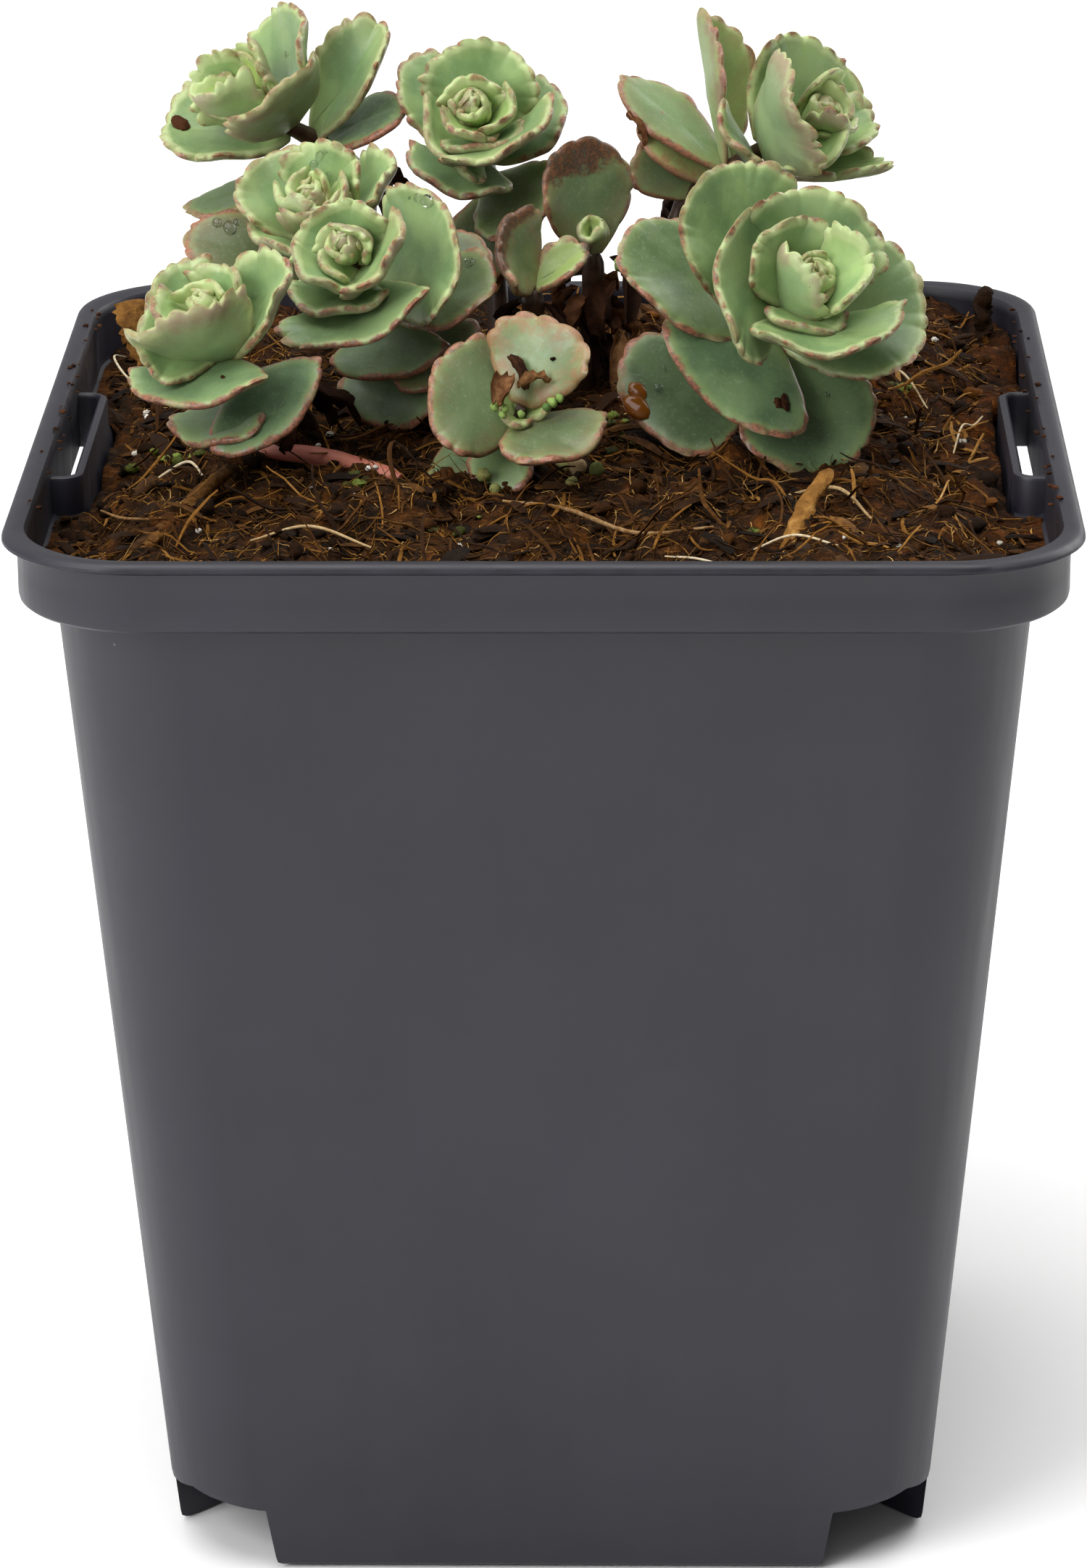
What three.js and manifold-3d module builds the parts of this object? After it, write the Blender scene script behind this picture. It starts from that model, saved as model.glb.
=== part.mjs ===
// Potted october daphne: Sedum sieboldii in a square nursery pot of the 11 x 11 x 12 cm class.
// Millimetres. The origin is the middle of the plane the pot stands on. +Z is up and -Y is the
// photographed front.
import * as THREE from 'three';
import { mergeVertices } from 'three/addons/utils/BufferGeometryUtils.js';
import Module from 'manifold-3d';

const wasm = await Module();
wasm.setup();

// Pot, injection moulded in one piece
const flangeHalf = 55; // half of the rim's outer width
const flangeRadius = 13;
const potHeight = 118.5;
const wall = 1.1;
const floorThickness = 1.2;
const bandHalf = 53.7; // upright band under the flange
const bandRadius = 13.8;
const ledgeTop = 111.8; // shelf between the band and the tapered body
const ledgeUnder = 110.7;
const bodyTopHalf = 50.2;
const bodyTopRadius = 13.8;
const baseHalf = 40.75;
const baseRadius = 9.6;
const cornerSteps = 5;

// Drain channels, one cut diagonally through each lower corner
const channelFootHalf = 8.1;
const channelEaveHalf = 7.6;
const channelEave = 7;
const channelRidge = 8.6;
const channelInnerEnd = 20; // distance of the closed end from the pot's axis
const drainRadius = 3;
const drainDistance = 32;
const middleDrainRadius = 4;

// Label pockets in the middle of the left and right sides
const pocketHalfLength = 16.6;
const pocketTop = potHeight - 2.5;
const pocketWall = 1.1;
const slotInnerX = 50.3;
const slotOuterX = 52.6;

// Soil and the gap kept between separate pieces
const gap = 0.3;
const soilLevel = 113.2;
const soilCells = 18;

// Leaves and stems
const leafThickness = 1.25;
const baseNarrowing = 0.45; // share of its width that a leaf loses towards its base
const stemRadius = 1.25;
const buryDepth = 9; // how far a stem stands in the soil
const stemSides = 7;

// Grids for welding a joined surface, from coarse to fine
const weldingGrids = [0.02, 0.018, 0.016, 0.014, 0.012, 0.01, 0.009, 0.008, 0.007, 0.006, 0.005, 0.004];

function solidFrom(points, triangles) {
  const coordinates = new Float32Array(points.length * 3);
  points.forEach((point, index) => point.toArray(coordinates, index * 3));
  const mesh = new wasm.Mesh({
    numProp: 3,
    vertProperties: coordinates,
    triVerts: Uint32Array.from(triangles.flat()),
  });
  return new wasm.Manifold(mesh);
}

// Closed solid through rings of equal point count, each end capped from its middle.
function loftSolid(rings) {
  const count = rings[0].length;
  const points = rings.flat();
  const triangles = [];
  for (let level = 0; level + 1 < rings.length; level += 1) {
    for (let side = 0; side < count; side += 1) {
      const a = level * count + side;
      const b = level * count + ((side + 1) % count);
      triangles.push([a, b, b + count], [a, b + count, a + count]);
    }
  }
  const lastRing = (rings.length - 1) * count;
  const bottom = points.push(middleOf(rings[0])) - 1;
  const top = points.push(middleOf(rings[rings.length - 1])) - 1;
  for (let side = 0; side < count; side += 1) {
    const next = (side + 1) % count;
    triangles.push([bottom, next, side], [top, lastRing + side, lastRing + next]);
  }
  return solidFrom(points, triangles);
}

function middleOf(ring) {
  const sum = ring.reduce((total, point) => total.add(point), new THREE.Vector3());
  return sum.divideScalar(ring.length);
}

function seededRandom(seed) {
  let state = seed;
  return () => {
    state = (state * 1664525 + 1013904223) % 4294967296;
    return state / 4294967296;
  };
}

// Rounded square ring, counter-clockwise from above.
function roundedSquare(half, radius, z) {
  const ring = [];
  const inset = half - radius;
  for (let corner = 0; corner < 4; corner += 1) {
    const start = (corner * Math.PI) / 2;
    const middle = start + Math.PI / 4;
    const cx = Math.SQRT2 * inset * Math.cos(middle);
    const cy = Math.SQRT2 * inset * Math.sin(middle);
    for (let step = 0; step <= cornerSteps; step += 1) {
      const angle = start + ((step / cornerSteps) * Math.PI) / 2;
      ring.push(new THREE.Vector3(cx + radius * Math.cos(angle), cy + radius * Math.sin(angle), z));
    }
  }
  return ring;
}

function bodyHalfAt(z) {
  return baseHalf + ((bodyTopHalf - baseHalf) * z) / ledgeUnder;
}

function bodyRadiusAt(z) {
  return baseRadius + ((bodyTopRadius - baseRadius) * z) / ledgeUnder;
}

// Outside of the pot, from the foot plane up to the rolled flange.
function potOutside() {
  return loftSolid([
    roundedSquare(baseHalf - 0.5, baseRadius - 0.3, 0),
    roundedSquare(bodyHalfAt(0.6), bodyRadiusAt(0.6), 0.6),
    roundedSquare(bodyTopHalf, bodyTopRadius, ledgeUnder),
    roundedSquare(bandHalf - 0.5, bandRadius - 0.4, ledgeUnder),
    roundedSquare(bandHalf - 0.1, bandRadius, ledgeUnder + 0.5),
    roundedSquare(bandHalf, bandRadius, potHeight - 1.3),
    roundedSquare(flangeHalf - 0.3, flangeRadius + 0.1, potHeight - 0.9),
    roundedSquare(flangeHalf, flangeRadius, potHeight - 0.5),
    roundedSquare(flangeHalf - 0.5, flangeRadius - 0.1, potHeight),
  ]);
}

// Room inside the pot, drawn in by a clearance. The soil fills it with the usual gap.
function potInside(clearance) {
  const inset = wall + clearance;
  const floor = floorThickness + clearance;
  const bandRing = (z, extra) => roundedSquare(bandHalf - inset + extra, bandRadius - inset, z);
  const room = loftSolid([
    roundedSquare(bodyHalfAt(floor) - inset, bodyRadiusAt(floor) - inset, floor),
    roundedSquare(bodyTopHalf - inset, bodyTopRadius - inset, ledgeTop + clearance),
    bandRing(ledgeTop + clearance, -0.2),
    bandRing(potHeight - 0.8, 0),
    bandRing(potHeight, 0.5),
    bandRing(potHeight + 6, 0.5),
  ]);
  let inside = room;
  for (let corner = 0; corner < 4; corner += 1) {
    inside = inside.subtract(drainChannel(corner, inset));
  }
  for (const side of [-1, 1]) {
    inside = inside.subtract(pocketBlock(side, clearance));
  }
  return inside;
}

// Gabled passage along one diagonal. A growth above zero gives the ribs that stand inside the pot.
function drainChannel(corner, growth) {
  const angle = Math.PI / 4 + (corner * Math.PI) / 2;
  const section = (distance, narrowing) => {
    const foot = (channelFootHalf + growth) * narrowing;
    const eave = (channelEaveHalf + growth) * narrowing;
    const shape = [
      [-foot, -2],
      [foot, -2],
      [eave, channelEave + growth],
      [0, channelRidge + growth],
      [-eave, channelEave + growth],
    ];
    return shape.map(([across, z]) => new THREE.Vector3(distance, across, z).applyAxisAngle(zAxis, angle));
  };
  const innerEnd = channelInnerEnd - growth;
  return loftSolid([section(innerEnd, 0.55), section(innerEnd + 3, 1), section(bandHalf * 1.6, 1)]);
}

const zAxis = new THREE.Vector3(0, 0, 1);

function uprightCylinder(x, y, radius, zLow, zHigh, sides) {
  const ringAt = (z) => {
    const ring = [];
    for (let side = 0; side < sides; side += 1) {
      const angle = (side / sides) * Math.PI * 2;
      ring.push(new THREE.Vector3(x + radius * Math.cos(angle), y + radius * Math.sin(angle), z));
    }
    return ring;
  };
  return loftSolid([ringAt(zLow), ringAt(zHigh)]);
}

// Plan outline with straight outer ends on +X and rounded corners on the inner side, then turned to its side.
function pocketOutline(side, innerX, outerX, halfLength, radius, z) {
  const ring = [new THREE.Vector3(outerX, -halfLength, z), new THREE.Vector3(outerX, halfLength, z)];
  for (const end of [1, -1]) {
    for (let step = 0; step <= 3; step += 1) {
      const part = end > 0 ? step / 3 : 1 - step / 3;
      const angle = (part * Math.PI) / 2;
      const x = innerX + radius * (1 - Math.sin(angle));
      const y = end * (halfLength - radius * (1 - Math.cos(angle)));
      ring.push(new THREE.Vector3(x, y, z));
    }
  }
  return side > 0 ? ring : ring.map((point) => new THREE.Vector3(-point.x, -point.y, z));
}

function pocketBlock(side, growth) {
  const innerX = slotInnerX - pocketWall - growth;
  const length = pocketHalfLength + growth;
  const ringAt = (z) => pocketOutline(side, innerX, bandHalf - 0.4, length, 2.4 + growth, z);
  return loftSolid([ringAt(ledgeUnder - 0.4 - growth), ringAt(pocketTop + growth)]);
}

function labelSlot(side) {
  const ringAt = (z) => pocketOutline(side, slotInnerX, slotOuterX, pocketHalfLength - pocketWall, 1.1, z);
  return loftSolid([ringAt(ledgeUnder - 1), ringAt(potHeight + 1)]);
}

function makePot() {
  let pot = potOutside().subtract(potInside(0));
  for (let corner = 0; corner < 4; corner += 1) {
    pot = pot.subtract(drainChannel(corner, 0));
    const angle = Math.PI / 4 + (corner * Math.PI) / 2;
    const x = drainDistance * Math.cos(angle);
    const y = drainDistance * Math.sin(angle);
    pot = pot.subtract(uprightCylinder(x, y, drainRadius, 4, 14, 12));
  }
  pot = pot.subtract(uprightCylinder(0, 0, middleDrainRadius, -1, 4, 14));
  for (const side of [-1, 1]) {
    pot = pot.subtract(labelSlot(side));
  }
  return pot;
}

// Lumpy peat surface: low along the two pocket sides, higher at the back right corner.
function soilHeight(x, y) {
  const wallDip = -4.2 * Math.pow(Math.min(Math.abs(x) / 52, 1), 6);
  const backRise = 3.4 * Math.max(0, (x + 1.2 * y) / 105);
  const mound = 1.4 * Math.cos(x * 0.05) * Math.cos(y * 0.045);
  const lumps = 0.8 * Math.sin(x * 0.31 + 1.3 * Math.sin(y * 0.17)) * Math.cos(y * 0.27 + 0.6);
  return soilLevel + wallDip + backRise + mound + lumps;
}

function makeSoil(hollows) {
  const half = 54;
  const random = seededRandom(41);
  const points = [];
  const triangles = [];
  const across = soilCells + 1;
  for (let row = 0; row <= soilCells; row += 1) {
    for (let column = 0; column <= soilCells; column += 1) {
      const x = -half + (2 * half * column) / soilCells;
      const y = -half + (2 * half * row) / soilCells;
      points.push(new THREE.Vector3(x, y, soilHeight(x, y) + 0.9 * (random() - 0.5)));
    }
  }
  const low = points.map((point) => new THREE.Vector3(point.x, point.y, -3));
  const total = points.length;
  points.push(...low);
  for (let row = 0; row < soilCells; row += 1) {
    for (let column = 0; column < soilCells; column += 1) {
      const a = row * across + column;
      const b = a + 1;
      const c = a + across;
      const d = c + 1;
      triangles.push([a, b, d], [a, d, c]);
      triangles.push([total + a, total + d, total + b], [total + a, total + c, total + d]);
    }
  }
  for (let cell = 0; cell < soilCells; cell += 1) {
    addWall(triangles, total, cell, cell + 1);
    addWall(triangles, total, soilCells * across + cell + 1, soilCells * across + cell);
    addWall(triangles, total, (cell + 1) * across, cell * across);
    addWall(triangles, total, cell * across + soilCells, (cell + 1) * across + soilCells);
  }
  let soil = potInside(gap).intersect(solidFrom(points, triangles));
  for (const hollow of hollows) {
    soil = soil.subtract(hollow);
  }
  return grownBody(soil);
}

function addWall(triangles, total, a, b) {
  triangles.push([a, total + a, total + b], [a, total + b, b]);
}

// Right-handed frame at a rosette: the axis points out of its heart, turn 0 to the photographed right.
function rosetteFrame(direction) {
  const axis = new THREE.Vector3(...direction).normalize();
  const right = new THREE.Vector3(1, 0, 0).addScaledVector(axis, -axis.x).normalize();
  const up = new THREE.Vector3().crossVectors(axis, right);
  return { axis, right, up };
}

// Margin of a Sedum sieboldii leaf: broad and rounded, drawn in to a short wedge at the base,
// with shallow rounded teeth on the outer two thirds.
function leafMargin(leaf, teeth) {
  const points = [];
  const count = 2 * teeth + 1;
  const reach = THREE.MathUtils.degToRad(158);
  for (let index = 0; index < count; index += 1) {
    const angle = -reach + (2 * reach * index) / (count - 1);
    const behind = Math.max(0, Math.abs(angle) - Math.PI / 2) / (reach - Math.PI / 2);
    const toothFade = 1 - behind;
    const tooth = (index % 2 === teeth % 2 ? 1 : -1) * leaf.tooth * toothFade;
    const alongHalf = Math.cos(angle) > 0 ? 0.44 : 0.56;
    const radius = 1 + tooth;
    points.push({
      x: leaf.length * (0.56 + alongHalf * Math.cos(angle) * radius),
      y: (leaf.width / 2) * Math.sin(angle) * radius * (1 - baseNarrowing * behind),
      lift: leaf.wave * toothFade * Math.sin(index * 2.2 + leaf.phase),
    });
  }
  return points;
}

function teethFor(width) {
  if (width > 10) return 6;
  return width > 5 ? 4 : 2;
}

function leafHeight(leaf, x, y) {
  const across = y / (leaf.width / 2);
  const along = x / leaf.length;
  const dish = leaf.cup * across * across * Math.min(1, along * 2);
  return dish + leaf.curl * along * along + leaf.fold * Math.abs(across);
}

// Leaf blade with both faces split alike, placed on its rosette.
function leafSolid(rosette, leaf, growth = 0) {
  const teeth = teethFor(leaf.width);
  const half = leafThickness / 2 + growth;
  const margin = leafMargin(leaf, teeth);
  const stations = leaf.width > 10 ? [0.12, 0.42, 0.75] : [0.14, 0.65];
  const rib = stations.map((part) => ({ x: leaf.length * part, y: 0, lift: 0 }));
  const flat = [...margin, ...rib];
  const place = leafPlacer(rosette, leaf);
  const upper = flat.map((p) => place(p.x, p.y, leafHeight(leaf, p.x, p.y) + p.lift + half));
  const lower = flat.map((p) => place(p.x, p.y, leafHeight(leaf, p.x, p.y) + p.lift - half));
  const face = leafTriangles(margin.length, rib.length);
  const shift = flat.length;
  const triangles = [...face];
  face.forEach(([a, b, c]) => triangles.push([a + shift, c + shift, b + shift]));
  for (let index = 0; index < margin.length; index += 1) {
    const next = (index + 1) % margin.length;
    triangles.push([index + shift, next + shift, next], [index + shift, next, index]);
  }
  return solidFrom([...upper, ...lower], triangles);
}

// One face of a leaf: every margin edge joined to its nearest point of the midrib.
function leafTriangles(count, ribCount) {
  const ribAt = (edge) => {
    const part = (edge + 0.5) / (count - 1);
    const fromBase = 1 - Math.abs(2 * part - 1);
    return Math.min(ribCount - 1, Math.floor(fromBase * ribCount * 1.15));
  };
  const triangles = [];
  for (let edge = 0; edge + 1 < count; edge += 1) {
    const station = ribAt(edge);
    const previous = edge > 0 ? ribAt(edge - 1) : station;
    if (previous !== station) {
      triangles.push([count + previous, edge, count + station]);
    }
    triangles.push([count + station, edge, edge + 1]);
  }
  triangles.push([count, count - 1, 0]);
  return triangles;
}

function leafPlacer(rosette, leaf) {
  const turn = THREE.MathUtils.degToRad(leaf.turn);
  const open = THREE.MathUtils.degToRad(leaf.open);
  const { axis, right, up } = rosette.frame;
  const outward = right.clone().multiplyScalar(Math.cos(turn)).addScaledVector(up, Math.sin(turn));
  const along = axis.clone().multiplyScalar(Math.cos(open)).addScaledVector(outward, Math.sin(open));
  const face = axis.clone().multiplyScalar(Math.sin(open)).addScaledVector(outward, -Math.cos(open));
  const roll = THREE.MathUtils.degToRad(leaf.roll);
  face.applyAxisAngle(along, roll);
  const across = new THREE.Vector3().crossVectors(face, along);
  const root = rosette.base.clone().addScaledVector(axis, leaf.place);
  return (x, y, z) =>
    root.clone().addScaledVector(along, x).addScaledVector(across, y).addScaledVector(face, z);
}

// A leaf is [turn, opening, length, width, place along the axis, roll, age, fold]. Young leaves stand
// and cup, old ones lie back and flatten, so the age follows the opening unless it is given. A fold
// is the height that the two halves rise to from the midrib.
function leafFrom(entry, order) {
  const [turn, open, length, width, place, roll = 0, age = (open - 30) / 70, fold = 0] = entry;
  const youth = 1 - THREE.MathUtils.clamp(age, 0, 1);
  return {
    turn,
    open,
    length,
    width,
    place,
    roll,
    cup: width * (0.03 + 0.16 * youth),
    curl: length * (-0.05 + 0.2 * youth),
    fold,
    tooth: 0.035 + 0.03 * youth,
    wave: 0.25 + 0.35 * youth,
    phase: order * 1.7,
  };
}

// The heart: whorls of three small leaves, each whorl turned by sixty degrees on the one below.
function heartLeaves(heart) {
  const leaves = [];
  heart.whorls.forEach(([open, length, width, place], level) => {
    for (let index = 0; index < 3; index += 1) {
      const turn = heart.turn + index * 120 + level * 60;
      leaves.push([turn, open, length, width, place]);
    }
  });
  return leaves;
}

// Ring across a path at one of its points.
function stemRing(path, index) {
  const before = path[Math.max(0, index - 1)];
  const after = path[Math.min(path.length - 1, index + 1)];
  const tangent = after.clone().sub(before).normalize();
  const right = new THREE.Vector3(1, 0, 0).addScaledVector(tangent, -tangent.x).normalize();
  const up = new THREE.Vector3().crossVectors(tangent, right);
  const ring = [];
  for (let side = 0; side < stemSides; side += 1) {
    const angle = (side / stemSides) * Math.PI * 2;
    const spoke = right.clone().multiplyScalar(Math.cos(angle)).addScaledVector(up, Math.sin(angle));
    ring.push(path[index].clone().addScaledVector(spoke, stemRadius));
  }
  return ring;
}

// Stem: straight down its hole in the soil, then leaning over to the rosette.
function stemSolid(rosette) {
  const [x, y] = rosette.root;
  const ground = groundAt(rosette);
  const neck = rosette.base.clone().addScaledVector(rosette.frame.axis, rosette.neckLow);
  const top = rosette.base.clone().addScaledVector(rosette.frame.axis, rosette.neckHigh);
  const collar = new THREE.Vector3(x, y, ground + 1.5);
  const bend = collar.clone().lerp(neck, 0.5).add(new THREE.Vector3(0, 0, 0.12 * collar.distanceTo(neck)));
  const path = [new THREE.Vector3(x, y, ground - buryDepth), collar, bend, neck, top];
  return loftSolid(path.map((point, index) => stemRing(path, index)));
}

function groundAt(rosette) {
  return soilHeight(rosette.root[0], rosette.root[1]);
}

function stemHole(rosette) {
  const [x, y] = rosette.root;
  const ground = groundAt(rosette);
  const radius = stemRadius + gap + 0.1;
  return uprightCylinder(x, y, radius, ground - buryDepth - gap, ground + 6, 12);
}

// The two closed whorls at a growing tip.
const heartOf = (turn, size, place) => ({
  turn,
  whorls: [
    [30, 5.4 * size, 4.4 * size, place],
    [16, 4.2 * size, 3.1 * size, place + 1.2],
  ],
});

const rosettes = [
  {
    name: 'rosette_back_left',
    root: [-20, 29],
    base: [-27.3, 30, 141.2],
    direction: [-0.72, -0.4, 0.57],
    heart: heartOf(80, 0.8, 6.4),
    leaves: [
      [47, 66, 13.5, 15.5, 3.2, -7, 0.4],
      [125, 36, 10.3, 8.5, 5.1, -5],
      [65, 41, 9.9, 8.3, 4, -2],
      [178, 49, 15.1, 12.4, 1.8, 6],
      [326, 53, 12.8, 12.9, 2.9, -27],
      [38, 92, 15.5, 9, -0.5, 20, 0.4, 1.2],
      [9, 104, 11.2, 9.2, -1.7, -8],
      [162, 36, 8, 5, 6.5],
      [262, 23, 9.5, 7.2, 5.7, 6],
      [52, 46, 7.7, 4.1, 5.9, -1],
      [41, 48, 9.6, 4.7, 5.2],
      [207, 49, 18.7, 8, -5.5, 6, 0.9],
    ],
  },
  {
    name: 'rosette_back_middle',
    root: [-6, 24],
    base: [-7.6, 26, 139.3],
    direction: [-0.1, -0.64, 0.76],
    heart: heartOf(35, 0.9, 7.6),
    leaves: [
      [79, 47, 12.3, 13.3, 2.9, 1],
      [124, 68, 14.6, 9.8, 0.1, 3],
      [205, 47, 8.7, 13.8, 2.7, -6],
      [31, 71, 11.4, 13.8, 1.1, -13],
      [308, 56, 10.7, 14.6, 5, -5],
      [239, 64, 9.2, 13.2, 0.8, 1],
      [307, 75, 11.1, 11.2, -2.5, 15],
      [262, 100, 11, 9, -4.6, 2],
      [90, 31, 6.8, 7.5, 6.7, 4],
      [344, 47, 7.5, 7.1, 6.3, -3],
      [257, 50, 7, 6.6, 7.4, -18],
      [288, 54, 7.7, 9.4, 5.4, -6],
      [180, 32, 5.8, 3.2, 6.8],
    ],
  },
  {
    name: 'rosette_left_upper',
    root: [-19, 15],
    base: [-24, 13, 133],
    direction: [-0.24, -0.5, 0.83],
    heart: heartOf(20, 0.8, 5.6),
    leaves: [
      [140, 57, 11.2, 12, 2.4, 5],
      [65, 48, 9.9, 10.8, 2.9, -5],
      [16, 62, 11.7, 12, 1.8, -17, 0.3],
      [177, 58, 17.7, 11.5, -4, -1, 1],
      [228, 50, 10.6, 11.6, 0.3, 4],
      [182, 26, 5.6, 6.4, 5.3, 2],
      [-10, 48, 7.1, 5.9, 4.6, -2],
      [61, 33, 6.2, 4, 4.4],
      [254, 28, 7.8, 10.8, 2.6, -12],
      [292, 37, 7.2, 8.6, 3.2, -4],
    ],
  },
  {
    name: 'rosette_left_middle',
    root: [-13, 3],
    base: [-18.2, 0, 131.2],
    direction: [-0.33, -0.6, 0.73],
    heart: heartOf(75, 0.8, 7.2),
    leaves: [
      [103, 40, 8.8, 11.5, 4.1, -12],
      [12, 58, 14.3, 17.1, -1.2, 11],
      [208, 49, 8.3, 10.5, 4.7, 4],
      [241, 62, 8.8, 13, 3.2, 6],
      [324, 54, 10.5, 11, 5.4, 4],
      [269, 72, 11.8, 17.4, 3, 4],
      [355, 81, 13.5, 11.9, -2.6, -12],
      [35, 93, 12.8, 10.6, -2.5, 3],
      [260, 98, 7, 14.5, -4.5, 5],
      [250, 100, 10.5, 13.2, -8.2, 4],
      [318, 96, 8.6, 12, -7.6, -12],
      [76, 24, 5.4, 6.6, 6.8, -3],
      [190, 41, 5.2, 8.1, 5.8, -4],
      [31, 42, 4.4, 5.4, 6.5, 4],
    ],
  },
  {
    name: 'rosette_front_left',
    root: [-26, 3],
    base: [-33.2, -13, 127.2],
    direction: [-0.3, -0.38, 0.88],
    heart: heartOf(60, 0.75, 6),
    leaves: [
      [137, 46, 9.3, 10.2, 3.8, 8],
      [40, 44, 7.4, 8.8, 4.6, 2],
      [175, 60, 9.3, 13.8, 2.5, -17],
      [10, 53, 13.4, 10.5, 1.2, 9, 0.35, 0.8],
      [252, 38, 12.6, 14.5, 1, 18],
      [247, 78, 10.6, 16.9, 1.2, 1],
      [301, 98, 10.2, 14.9, -1.8, 11],
      [242, 84, 9, 12.5, -4.3, 4],
      [194, 50, 7.3, 8, 5.4, -1],
      [76, 28, 4.6, 6.2, 6.3, -1],
      [0, 50, 6.2, 4.6, 3.8, -1],
    ],
  },
  {
    name: 'sprout_front',
    root: [-8.3, -9.8],
    base: [-2.9, -16, 121.3],
    direction: [0.05, -0.55, 0.83],
    heart: { turn: 10, whorls: [[50, 4.5, 3.4, 1.2]] },
    leaves: [
      [172, 60, 11.2, 15.5, 0, -6, 0.8],
      [66, 54, 10.2, 12.2, 3, -10, 0.7],
      [308, 72, 10.2, 13, 1.6, -7, 0.8],
      [168, 118, 11, 10.6, -3.2, 12],
      [243, 97, 7.2, 7.5, -2, 5],
    ],
  },
  {
    name: 'rosette_right',
    root: [17, 6],
    base: [23.8, -4, 128.1],
    direction: [0.38, -0.6, 0.7],
    heart: heartOf(50, 0.9, 8.2),
    leaves: [
      [137, 64, 18.7, 16.5, 1.8, -7],
      [162, 82, 19.5, 14, -0.2, 1],
      [234, 90, 13, 19.4, 0.2, -1],
      [301, 92, 16.2, 16.2, -1.7, 11, 0.85],
      [13, 60, 16.9, 18.1, 0, 6],
      [85, 52, 13.9, 16.2, 3.8, -2],
      [186, 60, 13.4, 18, 3.4, -12],
      [289, 57, 12.4, 18, 4.7, 3],
      [129, 46, 10.5, 11.4, 5.2, -11],
      [13, 35, 10.5, 10, 6.5, -4],
      [204, 26, 10.8, 8.8, 4, 12],
      [275, 56, 7.5, 9.1, 5.2, 3],
      [97, 35, 5.8, 4.6, 7.5, -2],
      [326, 41, 4.6, 4.4, 7.5, 1],
      [214, 100, 15.5, 16.2, -5.3, 7],
    ],
  },
  {
    name: 'rosette_back_right',
    root: [15, 25],
    base: [22.6, 24, 140.9],
    direction: [0.7, -0.4, 0.59],
    heart: heartOf(50, 0.8, 7),
    leaves: [
      [78, 53, 13.9, 16.3, 0.6, 1],
      [19, 54, 11.1, 9.5, 3.5, -17],
      [209, 43, 15, 14.5, 0.8, -3],
      [305, 33, 11, 9.5, 2.2, 51],
      [337, 42, 17, 8.5, -2.8, -12],
      [99, 36, 8.2, 4.2, 6, -3],
      [42, 30, 6, 5.6, 7],
      [-3, 36, 6, 6, 6.2],
      [293, 39, 6.6, 5.9, 7.2, -5],
      [128, 71, 18.3, 7, -5, 7, 0.6, 3.2],
      [147, 103, 16, 8, -4, -12],
      [159, 96, 11, 6.5, -6.5, -26, 0.8],
      [200, 72, 9.5, 9, -0.5, 10, 0.5],
      [150, 93, 8.6, 9.5, -9.5, -45, 0.8],
    ],
  },
  {
    name: 'shoot_middle',
    root: [4, 14],
    base: [4.6, 12, 132.9],
    direction: [0, -0.3, 0.95],
    heart: { turn: 300, whorls: [[30, 4, 3, 0]] },
    leaves: [
      [110, 20, 13.6, 11.5, -0.9, 11, 0.8],
    ],
  },
  {
    name: 'shoot_small',
    root: [-2, 7],
    base: [-1.8, 4, 130.5],
    direction: [0, -0.35, 0.94],
    heart: { turn: 40, whorls: [] },
    leaves: [
      [172, 27, 9, 12, 0.2, -8, 0.6, 0.8],
      [26, 60, 7.6, 5, 0.1, 6, 0.6, 0.8],
    ],
  },
];

// The stem runs from below the lowest leaf to just over the highest.
function preparedRosette(rosette) {
  const places = [...rosette.leaves, ...heartLeaves(rosette.heart)].map((leaf) => leaf[4]);
  return {
    ...rosette,
    base: new THREE.Vector3(...rosette.base),
    frame: rosetteFrame(rosette.direction),
    neckLow: Math.min(...places) - 1.5,
    neckHigh: Math.max(...places) + 0.4,
  };
}

function rosetteSolid(rosette) {
  const listed = [...rosette.leaves, ...heartLeaves(rosette.heart)];
  const blades = listed.map((entry, order) => leafSolid(rosette, leafFrom(entry, order)));
  let plant = stemSolid(rosette);
  for (const blade of blades) {
    plant = plant.add(blade);
  }
  return grownBody(plant);
}

// Keeps the grown body alone and fills any void that the joined leaves seal.
function grownBody(solid) {
  const pieces = solid.decompose();
  const sizes = pieces.map((piece) => piece.volume());
  let kept = pieces[sizes.indexOf(Math.max(...sizes))];
  pieces.forEach((piece, index) => {
    if (sizes[index] < 0) {
      kept = kept.add(piece);
    }
  });
  return kept;
}

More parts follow.
